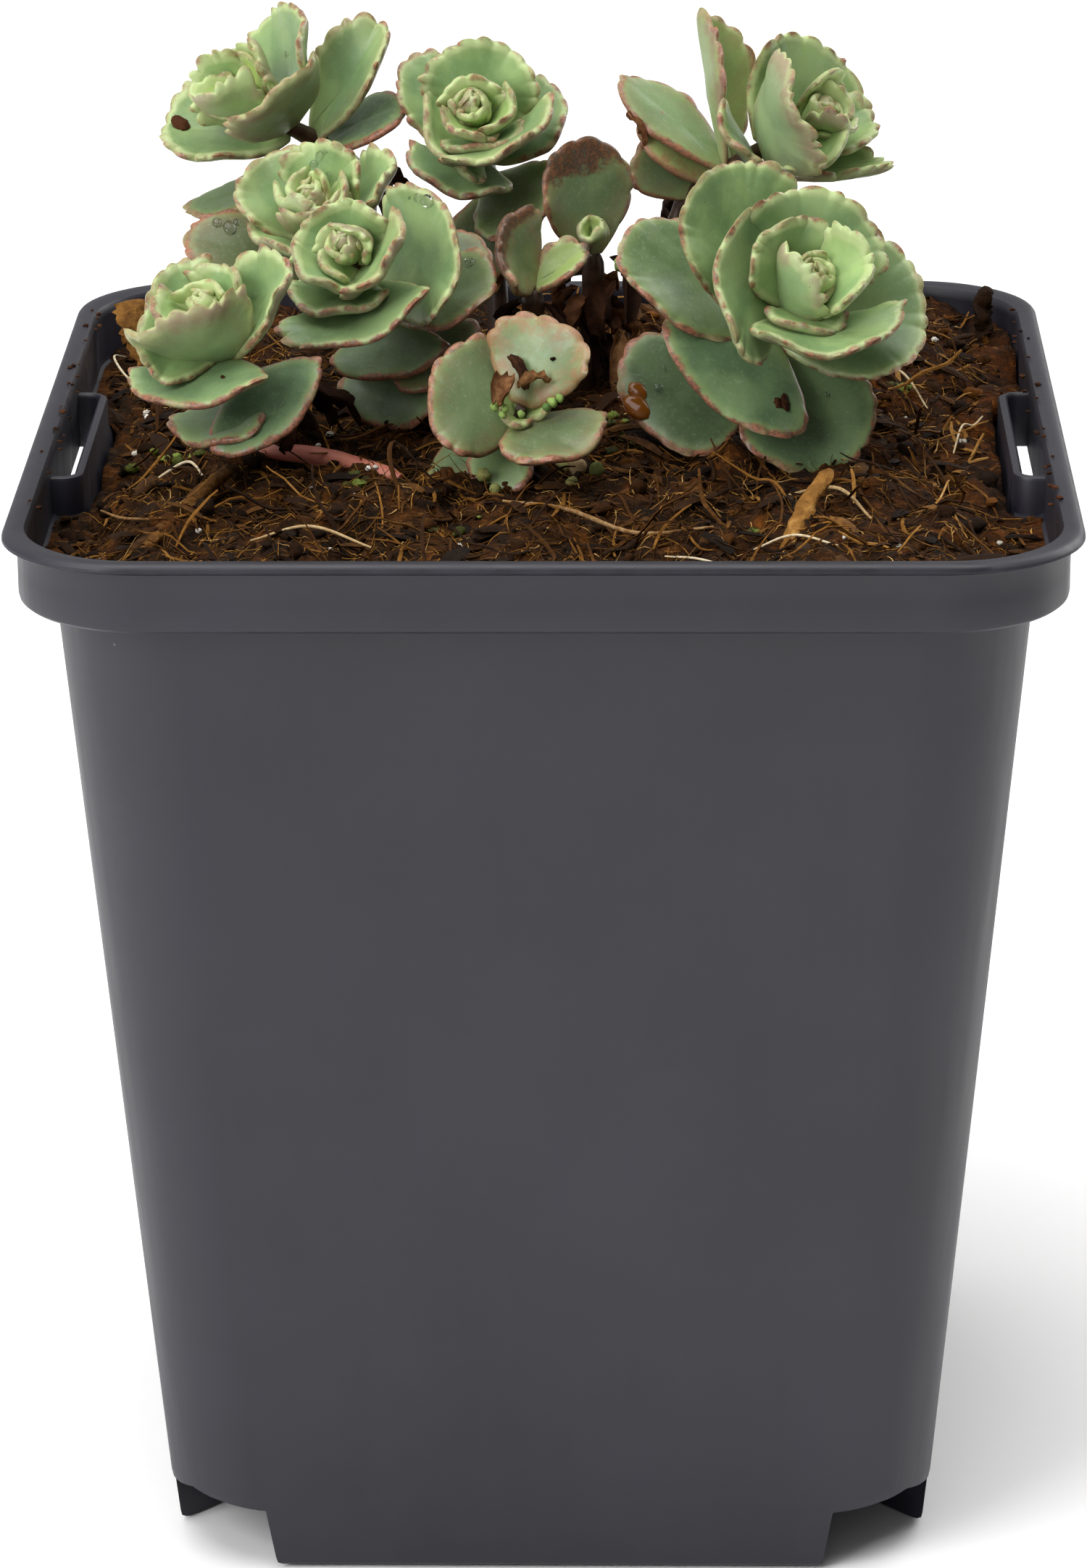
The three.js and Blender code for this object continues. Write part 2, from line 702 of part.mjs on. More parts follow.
// Loose pieces on the soil, each laid along its own path. The soil is hollowed where they are bedded in.
const litter = [
  {
    name: 'bark_chip_back_left',
    width: 5.6,
    thickness: 1.8,
    seed: 3,
    colour: 0xa06a35,
    path: [[-45.6, 37.5, 112.8], [-47, 39.5, 115.5], [-48.2, 41, 118.2], [-48.6, 41.8, 119.6]],
  },
  {
    name: 'bark_chip_back_right',
    width: 2.6,
    thickness: 1.8,
    seed: 8,
    colour: 0x4b3524,
    path: [[48.6, 43, 113.3], [49.2, 43.2, 115.8], [49, 43.4, 118.6], [49.6, 43.6, 120.6]],
  },
  {
    name: 'bark_strip_left',
    width: 1.9,
    thickness: 1.3,
    seed: 11,
    colour: 0x8a6a3c,
    path: [[-41, -37, 114.6], [-38.2, -28, 115.4], [-35.5, -19, 115.9], [-33.5, -12, 116]],
  },
  {
    name: 'fallen_stem',
    width: 2.3,
    thickness: 2.1,
    seed: 21,
    colour: 0xa66a5c,
    path: [[-31, -5.6, 115.6], [-26, -8, 116], [-21, -10.9, 115.8], [-15.6, -14.4, 115.3]],
  },
  {
    name: 'twig_right',
    width: 1.2,
    thickness: 1,
    seed: 5,
    colour: 0x8d7458,
    path: [[3.5, -9.5, 115.6], [8, -14.5, 115.9], [13, -18, 115.8], [19, -23, 115.4]],
  },
  {
    name: 'wood_splinter_right',
    width: 2.2,
    thickness: 1.1,
    seed: 14,
    colour: 0x9a7440,
    path: [[25, -36, 113.4], [26, -33, 115.8], [27.5, -30.5, 118], [29.5, -28, 120.3]],
  },
];

function litterSolid(item, growth = 0) {
  const random = seededRandom(item.seed);
  const path = item.path.map((point) => new THREE.Vector3(...point));
  const last = path.length - 1;
  const rings = path.map((point, index) => {
    const tangent = path[Math.min(last, index + 1)].clone().sub(path[Math.max(0, index - 1)]).normalize();
    const across = new THREE.Vector3().crossVectors(zAxis, tangent).normalize();
    const upward = new THREE.Vector3().crossVectors(tangent, across);
    const taper = index === 0 || index === last ? 0.7 : 1;
    const centre = point.clone();
    if (index === 0) centre.addScaledVector(tangent, -growth);
    if (index === last) centre.addScaledVector(tangent, growth);
    const ring = [];
    for (let side = 0; side < 6; side += 1) {
      const angle = (side / 6) * Math.PI * 2;
      const rough = taper * (0.85 + 0.3 * random());
      const wide = Math.cos(angle) * ((item.width / 2) * rough + growth);
      const thick = Math.sin(angle) * ((item.thickness / 2) * rough + growth);
      ring.push(centre.clone().addScaledVector(across, wide).addScaledVector(upward, thick));
    }
    return ring;
  });
  return loftSolid(rings);
}

// Surface of a solid with its corners set on a fine grid, so that the near-coincident corners
// a union leaves are welded, and the faces that collapse are dropped.
function weldedGeometry(solid, grid) {
  const result = solid.getMesh();
  const onGrid = result.vertProperties.map((value) => Math.round(value / grid) * grid);
  const raw = new THREE.BufferGeometry();
  raw.setAttribute('position', new THREE.BufferAttribute(onGrid, 3));
  raw.setIndex(new THREE.BufferAttribute(result.triVerts, 1));
  const merged = mergeVertices(raw, grid / 4);
  const corners = merged.index.array;
  const faces = new Map();
  for (let i = 0; i < corners.length; i += 3) {
    const face = [corners[i], corners[i + 1], corners[i + 2]];
    if (new Set(face).size === 3) {
      addOrCancel(faces, face);
    }
  }
  merged.setIndex([...faces.values()].flat());
  return merged;
}

// Two faces on the same corners close on each other and go.
function addOrCancel(faces, face) {
  const key = [...face].sort((a, b) => a - b).join();
  if (faces.has(key)) {
    faces.delete(key);
  } else {
    faces.set(key, face);
  }
}

// Every edge is walked once each way, so no four faces share one.
function hasPlainEdges(corners) {
  const walked = new Set();
  for (let i = 0; i < corners.length; i += 3) {
    for (let side = 0; side < 3; side += 1) {
      const edge = `${corners[i + side]}>${corners[i + ((side + 1) % 3)]}`;
      if (walked.has(edge)) return false;
      walked.add(edge);
    }
  }
  return true;
}

function isOneClosedBody(geometry) {
  if (!hasPlainEdges(geometry.index.array)) return false;
  try {
    const vertProperties = geometry.attributes.position.array;
    const triVerts = Uint32Array.from(geometry.index.array);
    const body = new wasm.Manifold(new wasm.Mesh({ numProp: 3, vertProperties, triVerts }));
    return body.decompose().length === 1;
  } catch {
    return false;
  }
}

function meshFrom(name, solid, colour, roughness) {
  const geometry = weldingGrids.map((grid) => weldedGeometry(solid, grid)).find(isOneClosedBody);
  if (!geometry) throw new Error(`${name} has no clean surface`);
  geometry.computeVertexNormals();
  const material = new THREE.MeshStandardMaterial({ color: colour, roughness, metalness: 0 });
  const mesh = new THREE.Mesh(geometry, material);
  mesh.name = name;
  return mesh;
}

const grown = rosettes.map(preparedRosette);
const part = new THREE.Group();
part.name = 'potted_october_daphne';
part.add(meshFrom('pot', makePot(), 0x46474c, 0.45));
const beds = litter.map((item) => litterSolid(item, gap + 0.2));
part.add(meshFrom('soil', makeSoil([...grown.map(stemHole), ...beds]), 0x4a3222, 0.95));
for (const rosette of grown) {
  part.add(meshFrom(rosette.name, rosetteSolid(rosette), 0x7d9a7a, 0.55));
}

for (const item of litter) {
  part.add(meshFrom(item.name, litterSolid(item), item.colour, 0.85));
}

export default part;
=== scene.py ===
import math
import random

import bpy
import numpy as np
from mathutils import Matrix, Vector


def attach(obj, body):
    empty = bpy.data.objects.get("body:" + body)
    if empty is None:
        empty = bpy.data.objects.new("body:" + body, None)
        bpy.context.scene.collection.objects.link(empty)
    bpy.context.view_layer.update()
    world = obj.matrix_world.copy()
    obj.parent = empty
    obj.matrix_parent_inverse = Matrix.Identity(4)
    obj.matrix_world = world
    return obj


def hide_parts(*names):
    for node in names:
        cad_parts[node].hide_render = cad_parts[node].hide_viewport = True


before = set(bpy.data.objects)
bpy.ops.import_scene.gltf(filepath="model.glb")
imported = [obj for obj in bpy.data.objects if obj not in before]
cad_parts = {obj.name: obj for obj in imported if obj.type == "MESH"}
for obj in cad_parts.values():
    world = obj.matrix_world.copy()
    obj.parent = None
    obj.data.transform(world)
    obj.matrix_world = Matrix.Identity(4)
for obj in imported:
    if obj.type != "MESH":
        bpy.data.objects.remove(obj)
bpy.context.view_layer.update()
print("frame loaded")


# Small helpers shared by every piece

def linear(hexColour):
    channels = [int(hexColour[i:i + 2], 16) / 255 for i in (1, 3, 5)]
    curved = [c / 12.92 if c <= 0.04045 else ((c + 0.055) / 1.055) ** 2.4 for c in channels]
    return (*curved, 1.0)


def scaleFor(size):
    # scale of a procedural pattern whose features are about size mm across
    return 1000 / size


def addNode(tree, kind, inputs=None, **settings):
    node = tree.nodes.new(kind)
    for name, value in settings.items():
        setattr(node, name, value)
    for socket, value in (inputs or {}).items():
        if isinstance(value, bpy.types.NodeSocket):
            tree.links.new(value, node.inputs[socket])
        else:
            node.inputs[socket].default_value = value
    return node


def addObject(name, data):
    thing = bpy.data.objects.new(name, data)
    bpy.context.scene.collection.objects.link(thing)
    return thing


def meshObject(name, points, faces):
    # a new object from points in mm
    mesh = bpy.data.meshes.new(name)
    mesh.from_pydata((np.asarray(points) * 0.001).tolist(), [], faces)
    return addObject(name, mesh)


def finishPiece(piece, material, sharpAngle, replaced=None):
    piece.data.materials.clear()
    piece.data.materials.append(material)
    piece.data.shade_smooth()
    piece.data.set_sharp_from_angle(angle=math.radians(sharpAngle))
    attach(piece, "root")
    if replaced:
        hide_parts(replaced)


def shapeOf(pointsAndFaces, **values):
    return {"points": pointsAndFaces[0], "faces": pointsAndFaces[1], "values": values}


def makePiece(name, shapes, material, sharpAngle, replaced=None):
    # many small shapes become one piece, with the values that colour them on its points
    faces, values, start = [], {}, 0
    for shape in shapes:
        count = len(shape["points"])
        faces += [tuple(index + start for index in face) for face in shape["faces"]]
        for key, numbers in shape["values"].items():
            values.setdefault(key, []).append(np.broadcast_to(numbers, count))
        start += count
    piece = meshObject(name, np.concatenate([shape["points"] for shape in shapes]), faces)
    for key, numbers in values.items():
        layer = piece.data.attributes.new(key, "FLOAT", "POINT")
        layer.data.foreach_set("value", np.concatenate(numbers).astype(np.float32))
    finishPiece(piece, material, sharpAngle, replaced)


# what a step of a surface makes: its node, the sockets its facts go into, the output used and settings
rangeSockets = ("Value", "From Min", "From Max", "To Min", "To Max")
stepKinds = {
    "pull": ("Mapping", ("Vector", "Rotation", "Scale"), 0, {}),
    "noise": ("TexNoise", ("Vector", "Scale", "Detail", "Roughness", "Distortion"), "Fac", {}),
    "cells": ("TexVoronoi", ("Vector", "Scale"), "Distance", {}),
    "range": ("MapRange", rangeSockets, 0, {}),
    "ease": ("MapRange", rangeSockets, 0, {"interpolation_type": "SMOOTHSTEP"}),
    "above": ("Math", (0, 1), 0, {"operation": "GREATER_THAN"}),
    "plus": ("Math", (0, 1), 0, {"operation": "ADD"}),
    "times": ("Math", (0, 1), 0, {"operation": "MULTIPLY"}),
    "weighed": ("Math", (0, 1, 2), 0, {"operation": "MULTIPLY_ADD"}),
    "mix": ("Mix", ("Factor", 6, 7), 2, {"data_type": "RGBA"}),
    "tint": ("Mix", ("Factor", 6, 7), 2, {"data_type": "RGBA", "blend_type": "MULTIPLY"}),
    "bump": ("Bump", ("Height", "Strength", "Distance", "Normal"), 0, {}),
}


def makeSurface(name, steps, sockets, attributes=()):
    # A material built in steps. Each makes one named value or colour from earlier ones, hex colours and
    # numbers, or from attributes of the mesh, and the shader's sockets take what they name.
    material = bpy.data.materials.new(name)
    material.use_nodes = True
    tree = material.node_tree
    tree.nodes.clear()
    made = {"where": addNode(tree, "ShaderNodeTexCoord").outputs["Object"]}
    for key in attributes:
        made[key] = addNode(tree, "ShaderNodeAttribute", attribute_name=key).outputs["Fac"]

    def found(item):
        if isinstance(item, str):
            return made[item] if item in made else linear(item)
        return item

    def add(kind, *facts):
        node, inlets, outlet, settings = stepKinds[kind]
        inputs = {inlet: found(fact) for inlet, fact in zip(inlets, facts)}
        return addNode(tree, "ShaderNode" + node, inputs, **settings).outputs[outlet]

    for key, (kind, *facts) in steps.items():
        result = facts[0]
        if kind == "product":
            for other in facts[1:]:
                result = add("times", result, other)
        elif kind == "layers":  # a colour, then each share and the colour that it lays over the last
            for share, colour in facts[1:]:
                result = add("mix", share, result, colour)
        elif kind == "sum":  # values with their weights
            result = 0.0
            for source, weight in facts:
                result = add("weighed", source, weight, result)
        elif kind == "ramp":  # a value and its colour stops
            ramp = addNode(tree, "ShaderNodeValToRGB", {"Fac": made[result]})
            elements, stops = ramp.color_ramp.elements, facts[1]
            for element, (position, colour) in zip(elements, (stops[0], stops[-1])):
                element.position, element.color = position, linear(colour)
            for position, colour in stops[1:-1]:
                elements.new(position).color = linear(colour)
            result = ramp.outputs["Color"]
        else:
            result = add(kind, *facts)
            if kind == "cells":
                made[key + "Pick"] = result.node.outputs["Color"]
        made[key] = result
    inputs = {socket: found(item) for socket, item in sockets.items()}
    shader = addNode(tree, "ShaderNodeBsdfPrincipled", inputs)
    addNode(tree, "ShaderNodeOutputMaterial", {"Surface": shader.outputs["BSDF"]})
    return material


def unit(vector):
    vector = np.asarray(vector, float)
    return vector / np.linalg.norm(vector)


def drawnTables(seeds, shape):
    return {seed: np.random.RandomState(seed).uniform(0, 1, shape) for seed in seeds}


tableSize = 256
smoothTables = drawnTables((3, 4, 8), (tableSize, tableSize))
crumbTables = drawnTables((5, 6, 7), (tableSize, tableSize, 3))


def latticePlace(x, y, size):
    # a place among square cells size mm wide, and the numbers of its cell, which never fall below zero
    shift = 500
    u, v = np.asarray(x) / size + shift, np.asarray(y) / size + shift
    return u, v, np.floor(u).astype(int), np.floor(v).astype(int)


def latticeNoise(x, y, size, seed):
    # smooth noise from -1 to 1 whose bumps are about size mm across
    u, v, i, j = latticePlace(x, y, size)
    fu, fv = u - i, v - j
    fu, fv = fu * fu * (3 - 2 * fu), fv * fv * (3 - 2 * fv)
    (a, b), (c, d) = [[smoothTables[seed][(i + di) % tableSize, (j + dj) % tableSize] for di in (0, 1)]
                      for dj in (0, 1)]
    low, high = a * (1 - fu) + b * fu, c * (1 - fu) + d * fu
    return 2 * (low * (1 - fv) + high * fv) - 1


def crumbRelief(x, y, size, seed):
    # rounded lumps about size mm across with creases between them, 0 to 1
    u, v, i, j = latticePlace(x, y, size)
    best, lift = np.full(u.shape, 9.0), np.zeros(u.shape)
    for di in (-1, 0, 1):
        for dj in (-1, 0, 1):
            cell = crumbTables[seed][(i + di) % tableSize, (j + dj) % tableSize]
            gapTo = (i + di + cell[..., 0] - u) ** 2 + (j + dj + cell[..., 1] - v) ** 2
            nearer = gapTo < best
            best, lift = np.where(nearer, gapTo, best), np.where(nearer, cell[..., 2], lift)
    return np.clip(1 - best * 1.3, 0, 1) * (0.35 + 0.65 * lift)


def circle(sides):
    # cosine and sine at even steps round a circle
    return [(math.cos(2 * math.pi * k / sides), math.sin(2 * math.pi * k / sides)) for k in range(sides)]


def loft(rings):
    # closed skin over rings of points, with one more point in the middle of each end
    rings = np.asarray(rings, float)
    levels, count = rings.shape[:2]
    faces = []
    for a in range((levels - 1) * count):
        b = a + 1 if (a + 1) % count else a + 1 - count
        faces.append((a, b, b + count, a + count))
    low, last = levels * count, (levels - 1) * count
    for a in range(count):
        b = (a + 1) % count
        faces += [(low, b, a), (low + 1, last + a, last + b)]
    return np.vstack([rings.reshape(-1, 3), rings[0].mean(axis=0), rings[-1].mean(axis=0)]), faces


def sheetFaces(rows, columns):
    # faces of a thin sheet: a grid of points, a second one under it and the edge between them
    faces, under = [], rows * columns
    for row in range(rows - 1):
        for column in range(columns - 1):
            a = row * columns + column
            quad = (a, a + 1, a + columns + 1, a + columns)
            faces += [quad, tuple(under + k for k in reversed(quad))]
    edge = [*range(columns), *range(2 * columns - 1, under, columns)]
    edge += [*range(under - 2, under - columns - 1, -1), *range(under - 2 * columns, 0, -columns)]
    for a, b in zip(edge, edge[1:] + edge[:1]):
        faces.append((b, a, under + a, under + b))
    return faces


def acrossOf(along, toward=(0, 0, 1)):
    # two directions across the one given, also where it nearly lines up with the other
    side = np.cross(toward, along)
    side = unit(side if np.linalg.norm(side) > 0.05 else (1, 0, 0))
    return side, np.cross(along, side)


def acrossPath(path, index):
    return acrossOf(unit(path[min(index + 1, len(path) - 1)] - path[max(index - 1, 0)]))


def headed(heading, tilt):
    return np.array([math.cos(heading) * math.cos(tilt), math.sin(heading) * math.cos(tilt), math.sin(tilt)])


def tubeShape(path, radii, sides, flatten=1.0, twist=0.0):
    # closed tube through path points
    path = np.asarray(path, float)
    rings = []
    for index, radius in enumerate(radii):
        side, up = acrossPath(path, index)
        angles = 2 * math.pi * np.arange(sides) / sides + twist * index
        offsets = np.outer(np.cos(angles), side) + np.outer(np.sin(angles) * flatten, up)
        rings.append(path[index] + offsets * radius)
    return loft(rings)


def smoothPath(corners, count):
    # Catmull-Rom curve through the corners
    corners = np.asarray(corners, float)
    padded = np.vstack([2 * corners[0] - corners[1], corners, 2 * corners[-1] - corners[-2]])
    spots = np.linspace(0, len(corners) - 1 - 1e-9, count)
    rows = []
    for spot in spots:
        k, t = int(spot), spot - int(spot)
        a, b, c, d = padded[k:k + 4]
        rows.append(0.5 * (2 * b + (c - a) * t + (2 * a - 5 * b + 4 * c - d) * t * t
                           + (3 * b - a - 3 * c + d) * t ** 3))
    return np.array(rows)


# Camera, light and floor

view = {"pitch": 0.34565, "yaw": -0.020229, "roll": -0.006341,
        "place": (-0.000939, -0.61462, 0.29697), "lens": 135.62}


def makeCamera():
    def unyaw(v):
        c, s = math.cos(view["yaw"]), math.sin(view["yaw"])
        return Vector((v[0] * c + v[1] * s, -v[0] * s + v[1] * c, v[2]))
    pitch, roll = view["pitch"], view["roll"]
    rightFlat, upFlat = Vector((1, 0, 0)), Vector((0, math.sin(pitch), math.cos(pitch)))
    right = unyaw(rightFlat * math.cos(roll) + upFlat * math.sin(roll))
    up = unyaw(upFlat * math.cos(roll) - rightFlat * math.sin(roll))
    back = unyaw((0, -math.cos(pitch), math.sin(pitch)))
    camera = addObject("camera", bpy.data.cameras.new("camera"))
    camera.data.sensor_fit = "VERTICAL"
    camera.data.sensor_height = 36
    camera.data.lens = view["lens"]
    camera.data.clip_start = 0.05
    camera.matrix_world = Matrix((*zip(right, up, back, unyaw(view["place"])), (0, 0, 0, 1)))
    bpy.context.scene.camera = camera


softboxes = {
    "overhead": {"place": (-0.1, -0.1, 1.3), "size": 1.2, "power": 15.5},
    "frontLeft": {"place": (-0.6, -0.6, 0.58), "size": 0.5, "power": 6},
    "backRight": {"place": (0.7, 0.8, 0.7), "size": 0.8, "power": 7},
}
softboxAim = Vector((0, 0, 0.1))
darkWall = {"From Min": -0.35, "From Max": 0.75, "To Min": 0.6, "To Max": 0.03}


def makeStudio():
    for name, box in softboxes.items():
        lamp = bpy.data.lights.new(name, "AREA")
        lamp.shape = "SQUARE"
        lamp.size = box["size"]
        lamp.energy = box["power"]
        holder = addObject(name, lamp)
        holder.location = box["place"]
        holder.rotation_euler = (softboxAim - Vector(box["place"])).to_track_quat("-Z", "Y").to_euler()
    # a white room with a dark wall on the right
    world = bpy.data.worlds.new("studio")
    world.use_nodes = True
    tree = world.node_tree
    room = tree.nodes["Background"].inputs
    room["Color"].default_value = (1, 1, 1, 1)
    toward = addNode(tree, "ShaderNodeTexCoord").outputs["Generated"]
    sideways = addNode(tree, "ShaderNodeSeparateXYZ", {"Vector": toward}).outputs["X"]
    wall = addNode(tree, "ShaderNodeMapRange", {"Value": sideways, **darkWall})
    tree.links.new(wall.outputs[0], room["Strength"])
    bpy.context.scene.world = world
    bpy.context.scene.view_settings.view_transform = "Standard"


def makeFloor():
    # matt white card, a little uneven in tone
    card = makeSurface("white card", {
        "cloud": ("noise", "where", scaleFor(166.7)),
        "tone": ("mix", "cloud", "#fbfbfa", "#ffffff"),
    }, {"Base Color": "tone", "Roughness": 0.8})
    half, level = 4000, -0.2
    corners = [(-half, -half, level), (half, -half, level), (half, half, level), (-half, half, level)]
    floor = meshObject("floor", corners, [(0, 1, 2, 3)])
    floor.data.materials.append(card)


makeCamera()
makeStudio()
makeFloor()
print("camera, light and floor")


# The pot

pot = {
    "flangeHalf": 55, "flangeRadius": 13, "height": 118.5, "wall": 1.1, "floor": 1.2,
    "bandHalf": 53.7, "bandRadius": 13.8, "ledgeTop": 111.8, "ledgeUnder": 110.7,
    "bodyTopHalf": 50.2, "bodyTopRadius": 13.8, "baseHalf": 40.75, "baseRadius": 9.6,
    "cornerSteps": 18,
}
drain = {"footHalf": 8.1, "eaveHalf": 7.6, "eave": 7, "ridge": 8.6, "foot": -2, "innerEnd": 20, "reach": 87,
         "holeRadius": 3, "holeDistance": 32, "holeSpan": (4, 14), "middleRadius": 4, "middleSpan": (-1, 4)}
pocket = {"halfLength": 16.6, "top": 116, "wall": 1.1, "slotInner": 50.3, "slotOuter": 52.6,
          "radius": 2.4, "slotRadius": 1.1, "intoBand": 0.4, "cornerSteps": 8}


def roundedSquare(half, radius, z):
    ring = []
    inset = half - radius
    steps = pot["cornerSteps"]
    for corner in range(4):
        start = corner * math.pi / 2
        middle = start + math.pi / 4
        cx, cy = math.sqrt(2) * inset * math.cos(middle), math.sqrt(2) * inset * math.sin(middle)
        for step in range(steps + 1):
            angle = start + step / steps * math.pi / 2
            ring.append((cx + radius * math.cos(angle), cy + radius * math.sin(angle), z))
    return ring


def combine(target, tool, operation):
    # joins or cuts with the other solid, which is then used up
    step = target.modifiers.new(operation, "BOOLEAN")
    step.operation = operation
    step.solver = "MANIFOLD"
    step.object = tool
    graph = bpy.context.evaluated_depsgraph_get()
    result = bpy.data.meshes.new_from_object(target.evaluated_get(graph))
    target.modifiers.clear()
    target.data = result
    bpy.data.objects.remove(tool)


def bodyAt(z):
    # half width and corner radius of the tapered body, whose corners no longer widen above 110 mm
    share = z / pot["ledgeUnder"]
    half = pot["baseHalf"] + (pot["bodyTopHalf"] - pot["baseHalf"]) * share
    radius = pot["baseRadius"] + (pot["bodyTopRadius"] - pot["baseRadius"]) * share
    return half, pot["bodyTopRadius"] if z > 110 else radius


def potProfile():
    # From the middle of the foot up, over the lip and down inside. A row has the half width and corner
    # radius that it starts from, what is added to them, and its height.
    top, wall, bottom = pot["height"], pot["wall"], pot["floor"]
    band, flange = (pot["bandHalf"], pot["bandRadius"]), (pot["flangeHalf"], pot["flangeRadius"])
    inner = (pot["bandHalf"] - wall, pot["bandRadius"] - wall)
    outside = [(bodyAt(0), -0.9, -0.6, 0), (bodyAt(0), -0.45, -0.3, 0.12), (bodyAt(0.6), -0.08, 0, 0.5),
               (bodyAt(1.2), 0, 0, 1.2), (bodyAt(7.9), 0, 0, 7.9)]
    outside += [(bodyAt(z), 0.07, 0, z) for z in (8.1, 20, 40, 60, 80, 100, 109)]
    outside += [(bodyAt(110.2), 0.15, 0, 110.2), (bodyAt(110.6), 0.5, 0, 110.62)]
    outside += [(band, *row) for row in (
        (-1.1, -0.9, 110.7), (-0.45, -0.3, 110.8), (-0.12, 0, 111.1), (-0.02, 0, 111.6), (-0.02, 0, 114),
        (0, 0, top - 1.9), (0.12, 0, top - 1.45), (0.6, -0.3, top - 1.15))]
    inside = [(flange, *row) for row in (
        (-0.25, 0.1, top - 1.05), (0, 0, top - 0.8), (-0.03, 0, top - 0.5), (-0.25, 0, top - 0.18),
        (-0.6, -0.1, top - 0.03), (-1.1, -0.3, top))]
    inside += [(inner, *row) for row in (
        (0.75, 0, top - 0.04), (0.3, 0, top - 0.25), (0.06, 0, top - 0.7), (0, 0, top - 1.4),
        (-0.1, 0, 112.6), (-0.25, 0, 112.1), (-0.8, -0.4, pot["ledgeTop"]))]
    inside += [(bodyAt(pot["ledgeUnder"]), 0.3 - wall, -wall, pot["ledgeTop"]),
               (bodyAt(110.9), -wall, -wall, 111.3)]
    inside += [(bodyAt(z), -wall, -wall, z) for z in (100, 50, bottom)]
    return [[(half + wider, radius + rounder, z) for (half, radius), wider, rounder, z in rows]
            for rows in (outside, inside)]


def drainChannel(corner, growth):
    angle = math.pi / 4 + corner * math.pi / 2
    c, s = math.cos(angle), math.sin(angle)
    eave, ridge = drain["eave"] + growth, drain["ridge"] + growth

    def section(distance, narrowing):
        low, high = (drain["footHalf"] + growth) * narrowing, (drain["eaveHalf"] + growth) * narrowing
        shape = [(-low, drain["foot"]), (low, drain["foot"]), (high, eave), (0, ridge), (-high, eave)]
        return [(distance * c - across * s, distance * s + across * c, z) for across, z in shape]

    # narrower at the inner end
    inner = drain["innerEnd"] - growth
    return loft([section(inner, 0.55), section(inner + 3, 1), section(drain["reach"], 1)])


def uprightCylinder(x, y, radius, span, sides=32):
    return loft([[(x + radius * c, y + radius * s, z) for c, s in circle(sides)] for z in span])


def pocketRing(side, inner, outer, halfLength, radius, z):
    # plan of a label pocket or its slot, with the inner corners rounded
    ring = [(outer, -halfLength, z), (outer, halfLength, z)]
    for end in (1, -1):
        for step in range(pocket["cornerSteps"] + 1):
            share = step / pocket["cornerSteps"]
            angle = (share if end > 0 else 1 - share) * math.pi / 2
            along = end * (halfLength - radius * (1 - math.cos(angle)))
            ring.append((inner + radius * (1 - math.sin(angle)), along, z))
    return ring if side > 0 else [(-x, -y, z) for x, y, z in ring]


def makePot(material):
    outside, inside = potProfile()
    body = meshObject("pot_moulding", *loft([roundedSquare(*row) for row in outside + inside]))
    for corner in range(4):
        rib = meshObject("rib", *drainChannel(corner, pot["wall"]))
        envelope = loft([roundedSquare(*row) for row in outside[:8]])
        combine(rib, meshObject("envelope", *envelope), "INTERSECT")
        combine(body, rib, "UNION")
    inner, outer, top, length = pocket["slotInner"], pocket["slotOuter"], pocket["top"], pocket["halfLength"]
    wall, band = pocket["wall"], pot["bandHalf"] - pocket["intoBand"]
    # how far each ring is drawn in or let out, and its height
    walls = ((0.6, 109.9), (0, 110.6), (0, top - 0.45), (0.12, top - 0.15), (0.42, top))
    slots = ((0, 108.5), (0, top - 0.5), (0.1, top - 0.2), (0.45, top + 0.1), (0.45, pot["height"] - 1))
    for side in (-1, 1):
        rings = [pocketRing(side, inner - wall + grow, band, length - grow, pocket["radius"] - grow, z)
                 for grow, z in walls]
        combine(body, meshObject("pocket", *loft(rings)), "UNION")
        rings = [pocketRing(side, inner - grow, outer, length - wall + grow, pocket["slotRadius"] + grow, z)
                 for grow, z in slots]
        combine(body, meshObject("slot", *loft(rings)), "DIFFERENCE")
    for corner in range(4):
        combine(body, meshObject("channel", *drainChannel(corner, 0)), "DIFFERENCE")
        angle = math.pi / 4 + corner * math.pi / 2
        x, y = drain["holeDistance"] * math.cos(angle), drain["holeDistance"] * math.sin(angle)
        hole = uprightCylinder(x, y, drain["holeRadius"], drain["holeSpan"])
        combine(body, meshObject("hole", *hole), "DIFFERENCE")
    hole = uprightCylinder(0, 0, drain["middleRadius"], drain["middleSpan"])
    combine(body, meshObject("hole", *hole), "DIFFERENCE")
    finishPiece(body, material, 32, "pot")


# anthracite polypropylene, injection moulded: satin, with faint flow streaks up the wall and dust
makePot(makeSurface("anthracite moulded polypropylene", {
    "upright": ("pull", "where", (0, 0, 0), (1, 1, 0.06)),
    "streaks": ("noise", "upright", scaleFor(3.8), 5, 0.6),
    "clouds": ("noise", "where", scaleFor(30), 4, 0.6),
    "grain": ("noise", "where", scaleFor(0.38), 2),
    "dots": ("cells", "where", scaleFor(2.4)),
    "streaked": ("range", "streaks", 0.3, 0.72),
    "cloudy": ("range", "clouds", 0.35, 0.7, 0, 0.45),
    "round": ("range", "dots", 0.05, 0.085, 0.45, 0),
    "few": ("above", "dotsPick", 0.93),
    "dust": ("product", "round", "few"),
    "wall": ("mix", "streaked", "#16141c", "#201e28"),
    "colour": ("layers", "wall", ("cloudy", "#292733"), ("dust", "#8b8680")),
    "gloss": ("range", "streaks", 0.3, 0.7, 0.4, 0.54),
    "waves": ("bump", "clouds", 0.12, 0.0004),
    "skin": ("bump", "grain", 0.1, 0.00006, "waves"),
}, {"Base Color": "colour", "Roughness": "gloss", "IOR": 1.49, "Normal": "skin"}))
print("pot")


# The soil and its litter

